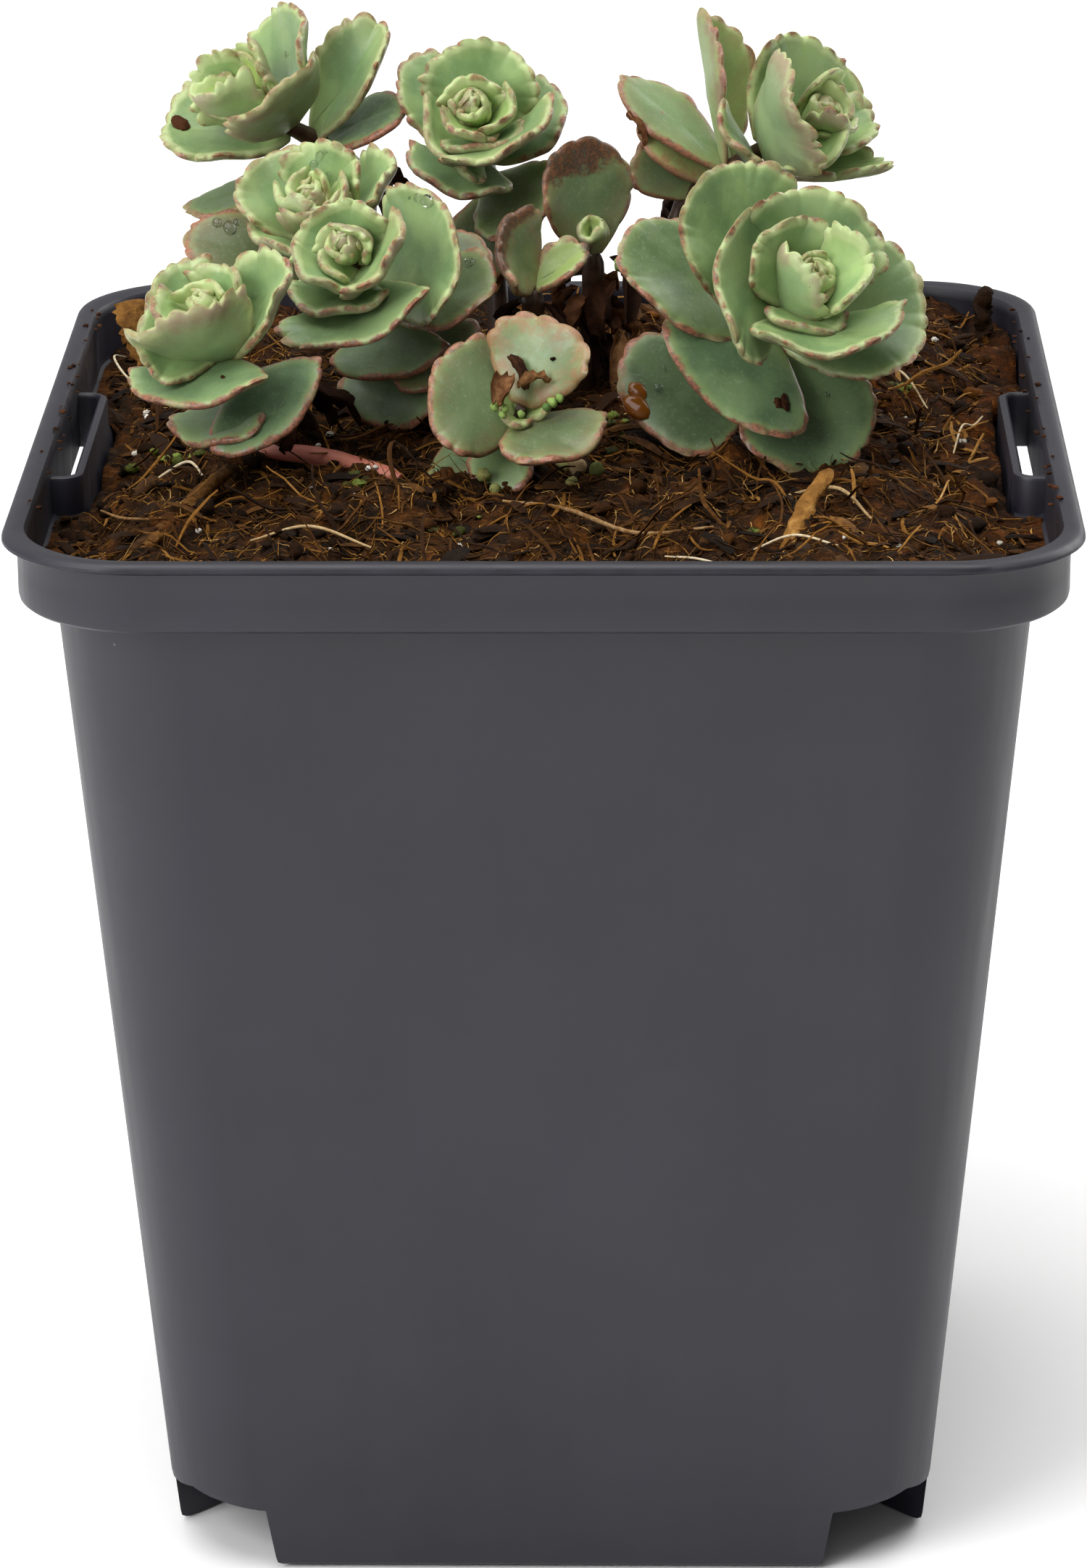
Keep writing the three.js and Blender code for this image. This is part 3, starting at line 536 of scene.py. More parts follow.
soil = {"level": 113.2, "cells": 18, "half": 54, "outer": 52.25, "outerRadius": 12.3, "inner": 48.7,
        "innerRadius": 12.4, "spacing": 0.55, "onLedge": 111.9, "ledge": 111.84, "underside": 106,
        "pocketFace": 48.6, "pocketHalf": 18.4, "pocketEase": 1.2, "squeezedFrom": 40}


def seededRandom(seed):
    # the same random numbers as the CAD soil's
    state = seed
    while True:
        state = (state * 1664525 + 1013904223) % 4294967296
        yield state / 4294967296


def plainHeight(x, y):
    wallDip = -4.2 * np.minimum(np.abs(x) / 52, 1) ** 6
    backRise = 3.4 * np.maximum(0, (x + 1.2 * y) / 105)
    mound = 1.4 * np.cos(x * 0.05) * np.cos(y * 0.045)
    lumps = 0.8 * np.sin(x * 0.31 + 1.3 * np.sin(y * 0.17)) * np.cos(y * 0.27 + 0.6)
    return soil["level"] + wallDip + backRise + mound + lumps


def soilGridHeights():
    n = soil["cells"] + 1
    spots = np.linspace(-soil["half"], soil["half"], n)
    shake = seededRandom(41)
    jitter = np.array([[0.9 * (next(shake) - 0.5) for _ in range(n)] for _ in range(n)])
    xs, ys = np.meshgrid(spots, spots)
    return plainHeight(xs, ys) + jitter


gridHeights = soilGridHeights()


def soilTop(x, y):
    # height of the CAD soil's own facets
    size = 2 * soil["half"] / soil["cells"]
    u = np.clip((np.asarray(x, float) + soil["half"]) / size, 0, soil["cells"] - 1e-6)
    v = np.clip((np.asarray(y, float) + soil["half"]) / size, 0, soil["cells"] - 1e-6)
    i, j = u.astype(int), v.astype(int)
    fu, fv = u - i, v - j
    a, b = gridHeights[j, i], gridHeights[j, i + 1]
    c, d = gridHeights[j + 1, i], gridHeights[j + 1, i + 1]
    return np.where(fu >= fv, a + (b - a) * fu + (d - b) * fv, a + (c - a) * fv + (d - c) * fu)


def soilRelief(x, y):
    # clods about 7 mm across, crumbs of 3 mm and grit on them
    bed = 0.7 * latticeNoise(x, y, 9, 3) + 0.4 * latticeNoise(x, y, 4.1, 4)
    lumps = 2.8 * crumbRelief(x, y, 7, 5) + 1.3 * crumbRelief(x, y, 3.1, 6) + 0.6 * crumbRelief(x, y, 1.4, 7)
    return np.maximum(0.08, bed + lumps - 0.45 + 0.16 * latticeNoise(x, y, 0.7, 8))


def rustShare(x, y):
    # the peat is more orange and drier towards the right and the back
    return np.clip((np.asarray(x) + 0.7 * np.asarray(y) + 20) / 90, 0, 1)


def beyondBody(x, y, half, radius):
    # true over the ledge, outside the rounded plan of the pot's tapered body
    u, v = np.maximum(np.abs(x) - (half - radius), 0), np.maximum(np.abs(y) - (half - radius), 0)
    return np.hypot(u, v) > radius


def soilSurface(x, y):
    # top of the crumbled surface
    top = soilTop(x, y) + soilRelief(x, y)
    onLedge = beyondBody(x, y, soil["inner"], soil["innerRadius"])
    return np.where(onLedge, np.maximum(top, soil["onLedge"]), top)


def intoPot(x, y):
    # squeezes a square grid into the pot's rounded plan, and in front of the label pockets
    a, r = soil["outer"], soil["outerRadius"]
    flat = a - r
    u, v = np.maximum(np.abs(x) - flat, 0) / r, np.maximum(np.abs(y) - flat, 0) / r
    inCorner = (u > 0) & (v > 0)
    x2 = np.where(inCorner, np.sign(x) * (flat + r * u * np.sqrt(1 - v * v / 2)), x)
    y2 = np.where(inCorner, np.sign(y) * (flat + r * v * np.sqrt(1 - u * u / 2)), y)
    atPocket = np.clip((soil["pocketHalf"] - np.abs(y2)) / soil["pocketEase"], 0, 1)
    reach = a - (a - soil["pocketFace"]) * atPocket
    start = soil["squeezedFrom"]
    squeezed = np.sign(x2) * (start + (np.abs(x2) - start) * (reach - start) / (a - start))
    return np.where(np.abs(x2) > start, squeezed, x2), y2


def makeSoilSurface(material):
    count = int(2 * soil["outer"] / soil["spacing"]) + 1
    spots = np.linspace(-soil["outer"], soil["outer"], count)
    x, y = intoPot(*np.meshgrid(spots, spots))
    top = soilSurface(x, y)
    overLedge = beyondBody(x, y, soil["inner"] - 0.7, soil["innerRadius"])
    low = np.minimum(np.where(overLedge, soil["ledge"], soil["underside"]), top - 0.05)
    points = np.concatenate([np.stack([x, y, z], -1).reshape(-1, 3) for z in (top, low)])
    relief, rust = (np.tile(share.reshape(-1), 2) for share in (top - soilTop(x, y), rustShare(x, y)))
    shape = shapeOf((points, sheetFaces(count, count)), relief=relief, rust=rust)
    makePiece("soil_surface", [shape], material, 180)


def fibrousPeat(name, fine):
    # damp milled peat: dark brown crumbs with lighter torn fibres, dull, with painted shade darkening the
    # hollows
    crumbStops = ((0.3, "#0c0602"), (0.44, "#1e1004"), (0.56, "#3a2009"), (0.68, "#623812"), (0.8, "#8a5822"))
    steps = {
        "patches": ("noise", "where", scaleFor(4.8), 6, 0.7),
        "grit": ("noise", "where", scaleFor(0.67), 4, 0.7),
        "pulled": ("pull", "where", (0.3, 0.2, 0.7), (1, 5, 3)),
        "threads": ("noise", "pulled", scaleFor(2.4), 5, 0.5, 1.2),
        "crumb": ("ramp", "patches", crumbStops),
        "thread": ("range", "threads", 0.56, 0.68, 0, 0.5),
        "fibred": ("mix", "thread", "crumb", "#6f4c2b"),
        "damp": ("range", "patches", 0.3, 0.6, 0.62, 0.95),
        "both": ("plus", "grit", "threads"),
        "bump": ("bump", "both", 0.8, 0.0005),
    }
    if fine:
        steps.update({
            # painted shade: the lower the crumbled surface lies, the nearer its colour is drawn to near black
            "hollow": ("range", "relief", 0.2, 1.9, 0.88, 0),
            "shaded": ("mix", "hollow", "fibred", "#090503"),
            "rusty": ("mix", "rust", (1, 1, 1, 1), (1.3, 1.1, 0.85, 1)),
            "tinted": ("tint", 1, "shaded", "rusty"),
        })
    # the IOR is matched: loose fibres shine less than solid peat
    return makeSurface(name, steps, {"Base Color": "tinted" if fine else "fibred", "Roughness": "damp",
                                     "IOR": 1.2, "Normal": "bump"}, ("relief", "rust") if fine else ())


makeSoilSurface(fibrousPeat("damp fibrous peat", True))
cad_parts["soil"].data.materials.clear()
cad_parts["soil"].data.materials.append(fibrousPeat("packed peat", False))
print("soil surface")


def tonedMatter(name, stops, roughness, grainSize, bumpDepth):
    # plant litter whose colour runs through the stops by each scrap's own tone
    return makeSurface(name, {
        "grain": ("noise", "where", scaleFor(grainSize), 5, 0.65),
        "offset": ("range", "grain", 0.25, 0.75, -0.16, 0.16),
        "ownTone": ("plus", "tone", "offset"),
        "colour": ("ramp", "ownTone", stops),
        "bump": ("bump", "grain", 0.7, bumpDepth),
    }, {"Base Color": "colour", "Roughness": roughness, "IOR": 1.2, "Normal": "bump"}, ("tone",))


# counts, seeds, sizes from the least to the most in mm, and how rare the large ones are
crumbs = {"count": 1800, "seed": 12, "least": 0.25, "most": 1.15, "rarity": 2.6}
fibres = {"count": 1700, "seed": 23, "least": 1.6, "most": 10, "rarity": 2.2, "thickness": (0.07, 0.24),
          "upright": 0.3}
flakes = {"count": 480, "seed": 31, "least": 1.3, "most": 6, "rarity": 2}
hairs = {"count": 4600, "seed": 57, "points": 5, "lengths": (1, 3.6), "thickness": 0.15}
scatter = {"half": 52, "pocketFace": 48.2, "pocketHalf": 18.5}


def drawnSize(draw, kind):
    return kind["least"] + (kind["most"] - kind["least"]) * draw.random() ** kind["rarity"]


def insidePot(x, y, margin=0.0):
    a, r = soil["outer"] - margin, soil["outerRadius"] - margin
    u, v = max(abs(x) - (a - r), 0), max(abs(y) - (a - r), 0)
    if math.hypot(u, v) > r or max(abs(x), abs(y)) > a:
        return False
    return not (abs(x) > scatter["pocketFace"] - margin and abs(y) < scatter["pocketHalf"])


def scatterSpot(draw, margin):
    half = scatter["half"]
    while True:
        x, y = draw.uniform(-half, half), draw.uniform(-half, half)
        if insidePot(x, y, margin):
            return x, y


def groundAt(x, y):
    return float(soilSurface(x, y))


def roundBall(levels, sides):
    points, faces = [(0, 0, -1)], []
    for level in range(1, levels):
        angle = math.pi * level / levels - math.pi / 2
        points += [(math.cos(angle) * c, math.cos(angle) * s, math.sin(angle)) for c, s in circle(sides)]
    points.append((0, 0, 1))
    for s in range(sides):
        t = (s + 1) % sides
        faces.append((0, 1 + t, 1 + s))
        for level in range(levels - 2):
            a = 1 + level * sides
            faces.append((a + s, a + t, a + sides + t, a + sides + s))
        a = 1 + (levels - 2) * sides
        faces.append((a + s, a + t, len(points) - 1))
    return np.array(points, float), faces


def makeCrumbs(material):
    draw = random.Random(crumbs["seed"])
    ball, faces = roundBall(5, 7)
    shapes = []
    for _ in range(crumbs["count"]):
        x, y = scatterSpot(draw, 0.8)
        size = drawnSize(draw, crumbs)
        stretch = np.array([draw.uniform(0.7, 1.4), draw.uniform(0.7, 1.2), draw.uniform(0.5, 0.9)]) * size
        rough = np.array([draw.uniform(0.62, 1.3) for _ in ball])[:, None]
        turn = draw.uniform(0, math.pi)
        c, s = math.cos(turn), math.sin(turn)
        points = ball * rough * stretch @ np.array([[c, s, 0], [-s, c, 0], [0, 0, 1]])
        points = points + (x, y, groundAt(x, y) + size * draw.uniform(-0.1, 0.3))
        tone = draw.random() ** 1.8 * (0.62 + 0.38 * rustShare(x, y))
        shapes.append(shapeOf((points, faces), tone=tone))
    makePiece("soil_crumbs", shapes, material, 70)


def makeFibres(material):
    # torn peat fibres, most of them lying down, a few sticking up
    draw = random.Random(fibres["seed"])
    shapes = []
    for _ in range(fibres["count"]):
        x, y = scatterSpot(draw, 1.5)
        length = drawnSize(draw, fibres)
        heading, bend = draw.uniform(0, 2 * math.pi), draw.uniform(-0.16, 0.16)
        rise = draw.uniform(0.15, 0.8) if draw.random() < fibres["upright"] else draw.uniform(-0.05, 0.1)
        thick = draw.uniform(*fibres["thickness"]) * (0.7 + length / 12)
        path, steps = [], max(4, int(length))
        for step in range(steps + 1):
            path.append((x, y, groundAt(x, y) + 0.1 + rise * step * length / steps))
            nextX = x + math.cos(heading) * length / steps
            nextY = y + math.sin(heading) * length / steps
            if not insidePot(nextX, nextY, 0.8):
                break
            x, y, heading = nextX, nextY, heading + bend
        if len(path) < 3:
            continue
        path = np.array(path)
        path[:, 2] = np.convolve(np.pad(path[:, 2], 1, mode="edge"), [0.25, 0.5, 0.25], "valid") + 0.12
        radii = [thick * (0.45 + 0.55 * math.sin(math.pi * (k + 0.6) / len(path))) for k in range(len(path))]
        tube = tubeShape(path, radii, 5, flatten=draw.uniform(0.35, 0.8), twist=draw.uniform(-0.3, 0.3))
        shapes.append(shapeOf(tube, tone=draw.random() * (0.7 + 0.3 * float(rustShare(x, y)))))
    makePiece("peat_fibres", shapes, material, 60)


def chipShape(draw, centre, length, width, thick, heading, tilt):
    # a splintered chip: uneven sections along a slightly bent line, with ragged ends
    along = headed(heading, tilt)
    side, up = acrossOf(along)
    rings, count, sides = [], 5, 6
    for index in range(count):
        t = index / (count - 1) - 0.5
        middle = centre + along * length * t + up * 0.06 * length * (0.25 - t * t) * 4
        atEnd = index in (0, count - 1)
        swell = (0.55 if atEnd else 1.0) * draw.uniform(0.8, 1.15)
        ring = []
        for c, s in circle(sides):
            w, h = c * width / 2 * swell, s * thick / 2 * swell
            skew = along * length * 0.09 * draw.uniform(-1, 1) if atEnd else 0
            ring.append(middle + side * w * draw.uniform(0.85, 1.1) + up * h * draw.uniform(0.8, 1.2) + skew)
        rings.append(ring)
    return loft(rings)


def makeFlakes(material):
    draw = random.Random(flakes["seed"])
    shapes = []
    for _ in range(flakes["count"]):
        x, y = scatterSpot(draw, 2.5)
        length = drawnSize(draw, flakes)
        width, thick = length * draw.uniform(0.2, 0.45), length * draw.uniform(0.07, 0.16)
        tilt = draw.uniform(-0.35, 0.35)
        centre = np.array([x, y, groundAt(x, y) + 0.25 + abs(math.sin(tilt)) * length * 0.3])
        chip = chipShape(draw, centre, length, width, thick, draw.uniform(0, 2 * math.pi), tilt)
        shapes.append(shapeOf(chip, tone=draw.random() ** 1.5 * (0.65 + 0.35 * float(rustShare(x, y)))))
    makePiece("bark_flakes", shapes, material, 35)


def makeHairs(material):
    # matted hair roots of the peat moss, drawn twice as thick as they are to show at all
    source = np.random.default_rng(hairs["seed"])
    count = hairs["count"]
    spots = np.array([scatterSpot(random.Random(hairs["seed"] + k), 3.5) for k in range(count)])
    heading, length = source.uniform(0, 2 * math.pi, count), source.uniform(*hairs["lengths"], count)
    bend, rise = source.uniform(-0.9, 0.9, count), source.uniform(-0.1, 0.9, count) ** 3
    share = np.linspace(0, 1, hairs["points"])[:, None]
    angle = heading + bend * share
    x = spots[:, 0] + length * share * np.cos(angle)
    y = spots[:, 1] + length * share * np.sin(angle)
    z = soilSurface(x, y) + 0.12 + rise * length * share
    radii = hairs["thickness"] / 2 * (1.2 - share[:, 0])
    shapes = [shapeOf(tubeShape(path, radii, 3), tone=source.random())
              for path in np.stack([x, y, z], -1).transpose(1, 0, 2)]
    makePiece("peat_hairs", shapes, material, 180)


hairTones = ((0.0, "#291706"), (0.5, "#5c3b12"), (0.85, "#916529"), (1.0, "#bd965c"))
crumbTones = ((0.0, "#170c04"), (0.4, "#2f1a07"), (0.75, "#54310e"), (1.0, "#835222"))
fibreTones = ((0.0, "#1a0d04"), (0.45, "#43270a"), (0.7, "#78501d"), (0.9, "#9c7440"), (1.0, "#c2a374"))
flakeTones = ((0.0, "#120904"), (0.42, "#2d1a09"), (0.7, "#563716"), (0.9, "#8a602c"), (1.0, "#b0874a"))
makeCrumbs(tonedMatter("peat crumbs", crumbTones, 0.9, 0.7, 0.0004))
makeFibres(tonedMatter("torn peat fibres", fibreTones, 0.8, 1.1, 0.0002))
makeHairs(tonedMatter("fine peat hairs", hairTones, 0.85, 1.1, 0.0001))
makeFlakes(tonedMatter("broken bark", flakeTones, 0.78, 0.9, 0.0003))
print("soil litter")


# The larger loose pieces on the soil

litter = {
    "bark_chip_back_left": {"width": 5.6, "thickness": 1.8, "seed": 3, "tone": 0.78,
        "path": [(-45.6, 37.5, 112.8), (-47, 39.5, 115.5), (-48.2, 41, 118.2), (-48.6, 41.8, 119.6)]},
    "bark_chip_back_right": {"width": 2.6, "thickness": 1.8, "seed": 8, "tone": 0.25,
        "path": [(48.6, 43, 113.3), (49.2, 43.2, 115.8), (49, 43.4, 118.6), (49.6, 43.6, 120.6)]},
    "bark_strip_left": {"width": 1.9, "thickness": 1.3, "seed": 11, "tone": 0.7,
        "path": [(-41, -37, 114.6), (-38.2, -28, 115.4), (-35.5, -19, 115.9), (-33.5, -12, 116)]},
    "fallen_stem": {"width": 2.3, "thickness": 2.1, "seed": 21, "tone": 0.5,
        "path": [(-31, -5.6, 115.6), (-26, -8, 116), (-21, -10.9, 115.8), (-15.6, -14.4, 115.3)]},
    "twig_right": {"width": 1.2, "thickness": 1, "seed": 5, "tone": 0.6,
        "path": [(3.5, -9.5, 115.6), (8, -14.5, 115.9), (13, -18, 115.8), (19, -23, 115.4)]},
    "wood_splinter_right": {"width": 2.2, "thickness": 1.1, "seed": 14, "tone": 0.85,
        "path": [(25, -36, 113.4), (26, -33, 115.8), (27.5, -30.5, 118), (29.5, -28, 120.3)]},
}


def makeLitter(name, item, material, slot, roughness):
    draw = random.Random(item["seed"])
    count, sides, thick = 18, 12, item["thickness"]
    path = smoothPath(item["path"], count)
    rings = []
    for index, centre in enumerate(path):
        side, up = acrossPath(path, index)
        taper = 0.72 + 0.28 * math.sin(math.pi * index / (count - 1))
        if index in (0, count - 1):
            taper *= 0.55
        ring = []
        for c, s in circle(sides):
            rough = taper * (1 + roughness * draw.uniform(-1, 1))
            ring.append(centre + side * c * item["width"] / 2 * rough + up * s * thick / 2 * rough)
        rings.append(ring)
    makePiece(name + "_fine", [shapeOf(loft(rings), tone=item["tone"])], material, 50, name)


# bare stem, pinkish and smooth with a dull skin
stemSkin = makeSurface("bare pink stem skin", {
    "blotch": ("noise", "where", scaleFor(3.85), 4),
    "colour": ("ramp", "blotch", ((0.3, "#9a4a40"), (0.72, "#c27a62"))),
    "bump": ("bump", "blotch", 0.3, 0.0002),
}, {"Base Color": "colour", "Roughness": 0.5, "Normal": "bump"})
splitWood = tonedMatter("split wood and bark", flakeTones, 0.75, 1.6, 0.0009)
for name, item in litter.items():
    kind = (stemSkin, "dry_stem", 0.03) if name == "fallen_stem" else (splitWood, "bark", 0.2)
    makeLitter(name, item, *kind)
print("loose pieces")


# Leaves and rosettes. A leaf is (turn, opening, length, width, place along the axis, roll, age, fold)
# in mm and degrees; where they aren't given the age follows the opening and the rest is none.
# Looks are how olive, blushed and dried a leaf is, by its place in the list.

leafMake = {"reach": 158, "narrowing": 0.45, "halfThickness": 0.6, "toothedReach": 128, "toothWidth": 2.9,
            "youngerTeeth": 0.28, "toothDepth": 0.22, "youngerDepth": 0.26, "mostDepth": 0.12,
            "spokesPerTooth": 8, "spokesBehind": 9, "levels": (0.22, 0.42, 0.6, 0.74, 0.85, 0.925, 0.97, 1.0)}


def rosetteFrame(direction):
    axis = unit(direction)
    right = unit(np.array([1.0, 0, 0]) - axis * axis[0])
    return axis, right, np.cross(axis, right)


def leafFacts(entry, order):
    turn, opening, length, width, place = entry[:5]
    roll, age, fold = entry[5:] + (0, (opening - 30) / 70, 0)[len(entry) - 5:]
    youth = 1 - min(1, max(0, age))
    return {"turn": math.radians(turn), "open": math.radians(opening), "length": length, "width": width,
            "place": place, "roll": math.radians(roll), "fold": fold, "youth": youth,
            "cup": width * (0.03 + 0.16 * youth), "curl": length * (-0.05 + 0.2 * youth),
            "wave": 0.25 + 0.35 * youth, "phase": order * 1.7}


def toothLine(angles, draw, count, reach):
    # rounded teeth with tight notches between them, unevenly spaced round the outer margin
    cuts = np.linspace(-reach, reach, count + 1)
    cuts[1:-1] += np.array([draw.uniform(-0.34, 0.34) for _ in range(count - 1)]) * (cuts[1] - cuts[0])
    sizes = np.array([draw.uniform(0.35, 1.3) for _ in range(count)])
    lobe = np.zeros(len(angles))
    for k in range(count):
        share = (angles - cuts[k]) / (cuts[k + 1] - cuts[k])
        here = (share >= 0) & (share <= 1)
        lobe[here] = (np.sin(math.pi * share[here]) ** 0.6 * 1.7 - 0.85) * sizes[k]
    return lobe


def leafSpokes(leaf, draw):
    # spokes from the middle of the blade to its margin, with what each has of teeth and waves
    reach = math.radians(leafMake["reach"])
    toothed = math.radians(leafMake["toothedReach"])
    marginLength = toothed * (leaf["length"] + leaf["width"]) / 2
    toothWidth = leafMake["toothWidth"] * (1 - leafMake["youngerTeeth"] * leaf["youth"])
    teeth = max(4, round(marginLength / toothWidth))
    angles = np.linspace(-reach, reach, teeth * leafMake["spokesPerTooth"] + leafMake["spokesBehind"])
    behind = np.maximum(0, np.abs(angles) - math.pi / 2) / (reach - math.pi / 2)
    fade = 1 - behind
    lobes = toothLine(angles, draw, teeth, toothed) * fade
    toothDepth = leafMake["toothDepth"] + leafMake["youngerDepth"] * leaf["youth"]
    depth = min(leafMake["mostDepth"], toothDepth / (leaf["width"] / 2))
    drift = 0.026 * np.sin(3 * angles + draw.uniform(0, 6)) + 0.018 * np.sin(5 * angles + draw.uniform(0, 6))
    steps = 12 if leaf["width"] > 10 else 8 if leaf["width"] > 5 else 4
    index = (angles + reach) / (2 * reach) * steps
    return {"angles": angles, "behind": behind, "fade": fade, "lobes": lobes,
            "ripple": depth * lobes + drift * fade,
            "wave": leaf["wave"] * fade * np.sin(2.2 * index + leaf["phase"]),
            "ruffle": (0.08 + 0.36 * leaf["youth"]) * lobes}


def marginAt(leaf, spokes, detail):
    angles = spokes["angles"]
    radius = 1 + detail * spokes["ripple"]
    alongHalf = np.where(np.cos(angles) > 0, 0.44, 0.56)
    x = leaf["length"] * (0.56 + alongHalf * np.cos(angles) * radius)
    y = leaf["width"] / 2 * np.sin(angles) * radius * (1 - leafMake["narrowing"] * spokes["behind"])
    return x, y


def leafMiddle(leaf, spokes):
    # the layer between the two faces: cupped, curled, folded and waved towards the margin
    centre = np.array([0.5 * leaf["length"], 0, leaf["curl"] * 0.25])
    rings = []
    for level in leafMake["levels"]:
        marginX, marginY = marginAt(leaf, spokes, level ** 8)
        x, y = centre[0] + (marginX - centre[0]) * level, marginY * level
        across, along = y / (leaf["width"] / 2), x / leaf["length"]
        z = leaf["cup"] * across ** 2 * np.minimum(1, along * 2) + leaf["curl"] * along ** 2
        z = z + leaf["fold"] * np.sqrt(across ** 2 + 0.01) + spokes["wave"] * level ** 3
        z = z + spokes["ruffle"] * level ** 9
        z = z + 0.35 * leaf["youth"] * max(0, (level - 0.7) / 0.3) ** 2 * spokes["fade"]  # lifted rim
        rings.append(np.stack([x, y, z], -1))
    return centre, np.array(rings)


def leafLayers(leaf, spokes):
    # upper and lower face, meeting at a rounded margin, with a shallow groove down the midrib
    centre, middle = leafMiddle(leaf, spokes)
    levels = np.array(leafMake["levels"])
    start = np.broadcast_to(centre, (1, *middle.shape[1:]))
    inward = np.gradient(np.concatenate([start, middle]), axis=0)[1:]
    around = np.roll(middle, -1, axis=1) - np.roll(middle, 1, axis=1)
    normals = np.cross(inward, around)
    normals /= np.maximum(np.linalg.norm(normals, axis=-1, keepdims=True), 1e-9)
    half = leafMake["halfThickness"] * min(1, 0.62 + leaf["width"] * 0.035)
    profile = (half * np.sqrt(1 - levels ** 9))[:, None]
    groove = 0.2 * np.exp(-(middle[..., 1] / (0.06 * leaf["width"])) ** 2)
    groove = groove * np.clip(1.05 - middle[..., 0] / leaf["length"], 0, 1) * (levels[:, None] < 0.99)
    upper = middle + normals * (profile - groove)[..., None]
    lower = middle - normals * (profile + 0.6 * groove)[..., None]
    top, bottom = centre + (0, 0, half), centre - (0, 0, half)
    return np.vstack([top, upper.reshape(-1, 3), bottom, lower[:-1].reshape(-1, 3)])


def leafFaces(rows, spokes):
    # both faces go from their middle point out to the last row, which they share
    firstLow = 1 + rows * spokes
    upper = [[1 + row * spokes + k for k in range(spokes)] for row in range(rows)]
    lower = [[k + firstLow for k in ring] for ring in upper[:-1]] + upper[-1:]
    faces = []
    for k in range(spokes):
        n = (k + 1) % spokes
        faces += [(0, upper[0][k], upper[0][n]), (firstLow, lower[0][n], lower[0][k])]
        for (a, b), (c, d) in zip(zip(upper, upper[1:]), zip(lower, lower[1:])):
            faces += [(a[k], b[k], b[n], a[n]), (c[k], c[n], d[n], d[k])]
    return faces


def leafPlaced(rosette, leaf, local):
    axis, right, up = rosette["frame"]
    outward = right * math.cos(leaf["turn"]) + up * math.sin(leaf["turn"])
    along = axis * math.cos(leaf["open"]) + outward * math.sin(leaf["open"])
    face = axis * math.sin(leaf["open"]) - outward * math.cos(leaf["open"])
    face = face * math.cos(leaf["roll"]) + np.cross(along, face) * math.sin(leaf["roll"])
    across = np.cross(face, along)
    root = np.array(rosette["base"]) + axis * leaf["place"]
    return root + local[:, :1] * along + local[:, 1:2] * across + local[:, 2:] * face


lookValues = ("olive", "blush", "dried")
leafValues = ("rim", "along", "under", "lobe", "youth", "fresh", "leafTone", "stem", *lookValues)
blankValues = dict.fromkeys(leafValues, 0.0)


def leafShape(rosette, entry, order, look, seed):
    # one leaf, with the distance to its rim and the other values that colour it
    leaf = leafFacts(tuple(entry), order)
    draw = random.Random(seed * 1009 + order * 31 + 7)
    spokes = leafSpokes(leaf, draw)
    rows, count = len(leafMake["levels"]), len(spokes["angles"])
    local = leafLayers(leaf, spokes)
    marginX, marginY = marginAt(leaf, spokes, 1)
    span = np.hypot(marginX - 0.5 * leaf["length"], marginY)
    rim = np.outer(1 - np.array(leafMake["levels"]), span)
    lobes = np.tile(spokes["lobes"], rows)
    half = 1 + (rows - 1) * count
    values = {
        "rim": np.concatenate([[span.mean()], rim.reshape(-1), [span.mean()], rim[:-1].reshape(-1)]),
        "along": local[:, 0] / leaf["length"], "youth": leaf["youth"], "leafTone": draw.random(),
        "under": np.concatenate([np.zeros(half), np.full(count, 0.5), np.ones(half)]),
        "lobe": np.concatenate([[0.0], lobes, [0.0], lobes[:-count]]),
        "fresh": 0.85 * min(1, max(0, (9 - leaf["width"]) / 5))}
    mesh = leafPlaced(rosette, leaf, local), leafFaces(rows, count)
    return shapeOf(mesh, **{**blankValues, **values, **dict(zip(lookValues, look))})


def heartOf(turn, size, place):
    # two whorls, each with its opening, length, width and place along the axis
    return {"turn": turn, "whorls": [(30, 5.4 * size, 4.4 * size, place),
                                     (16, 4.2 * size, 3.1 * size, place + 1.2)]}


def heartLeaves(heart):
    # whorls of three small leaves, each whorl turned by sixty degrees on the one below
    return [(heart["turn"] + index * 120 + level * 60, *whorl)
            for level, whorl in enumerate(heart["whorls"]) for index in range(3)]


def stemPath(rosette):
    axis = rosette["frame"][0]
    base = np.array(rosette["base"])
    x, y = rosette["root"]
    ground = float(plainHeight(x, y))
    places = [leaf[4] for leaf in rosette["leaves"] + heartLeaves(rosette["heart"])]
    neck, top = base + axis * (min(places) - 1.5), base + axis * (max(places) + 0.4)
    collar = np.array([x, y, ground + 1.5])
    bend = (collar + neck) / 2 + (0, 0, 0.12 * np.linalg.norm(neck - collar))
    return smoothPath([(x, y, ground - 9), collar, bend, neck, top], 20)


def stemShape(rosette):
    path = stemPath(rosette)
    swell = [1.22 + 0.06 * math.sin(k * 1.9) for k in range(len(path))]  # leaf scars
    swell[-3:] = [1.0, 0.8, 0.55]
    return shapeOf(tubeShape(path, swell, 14), **{**blankValues, "rim": 5.0, "stem": 1.0})


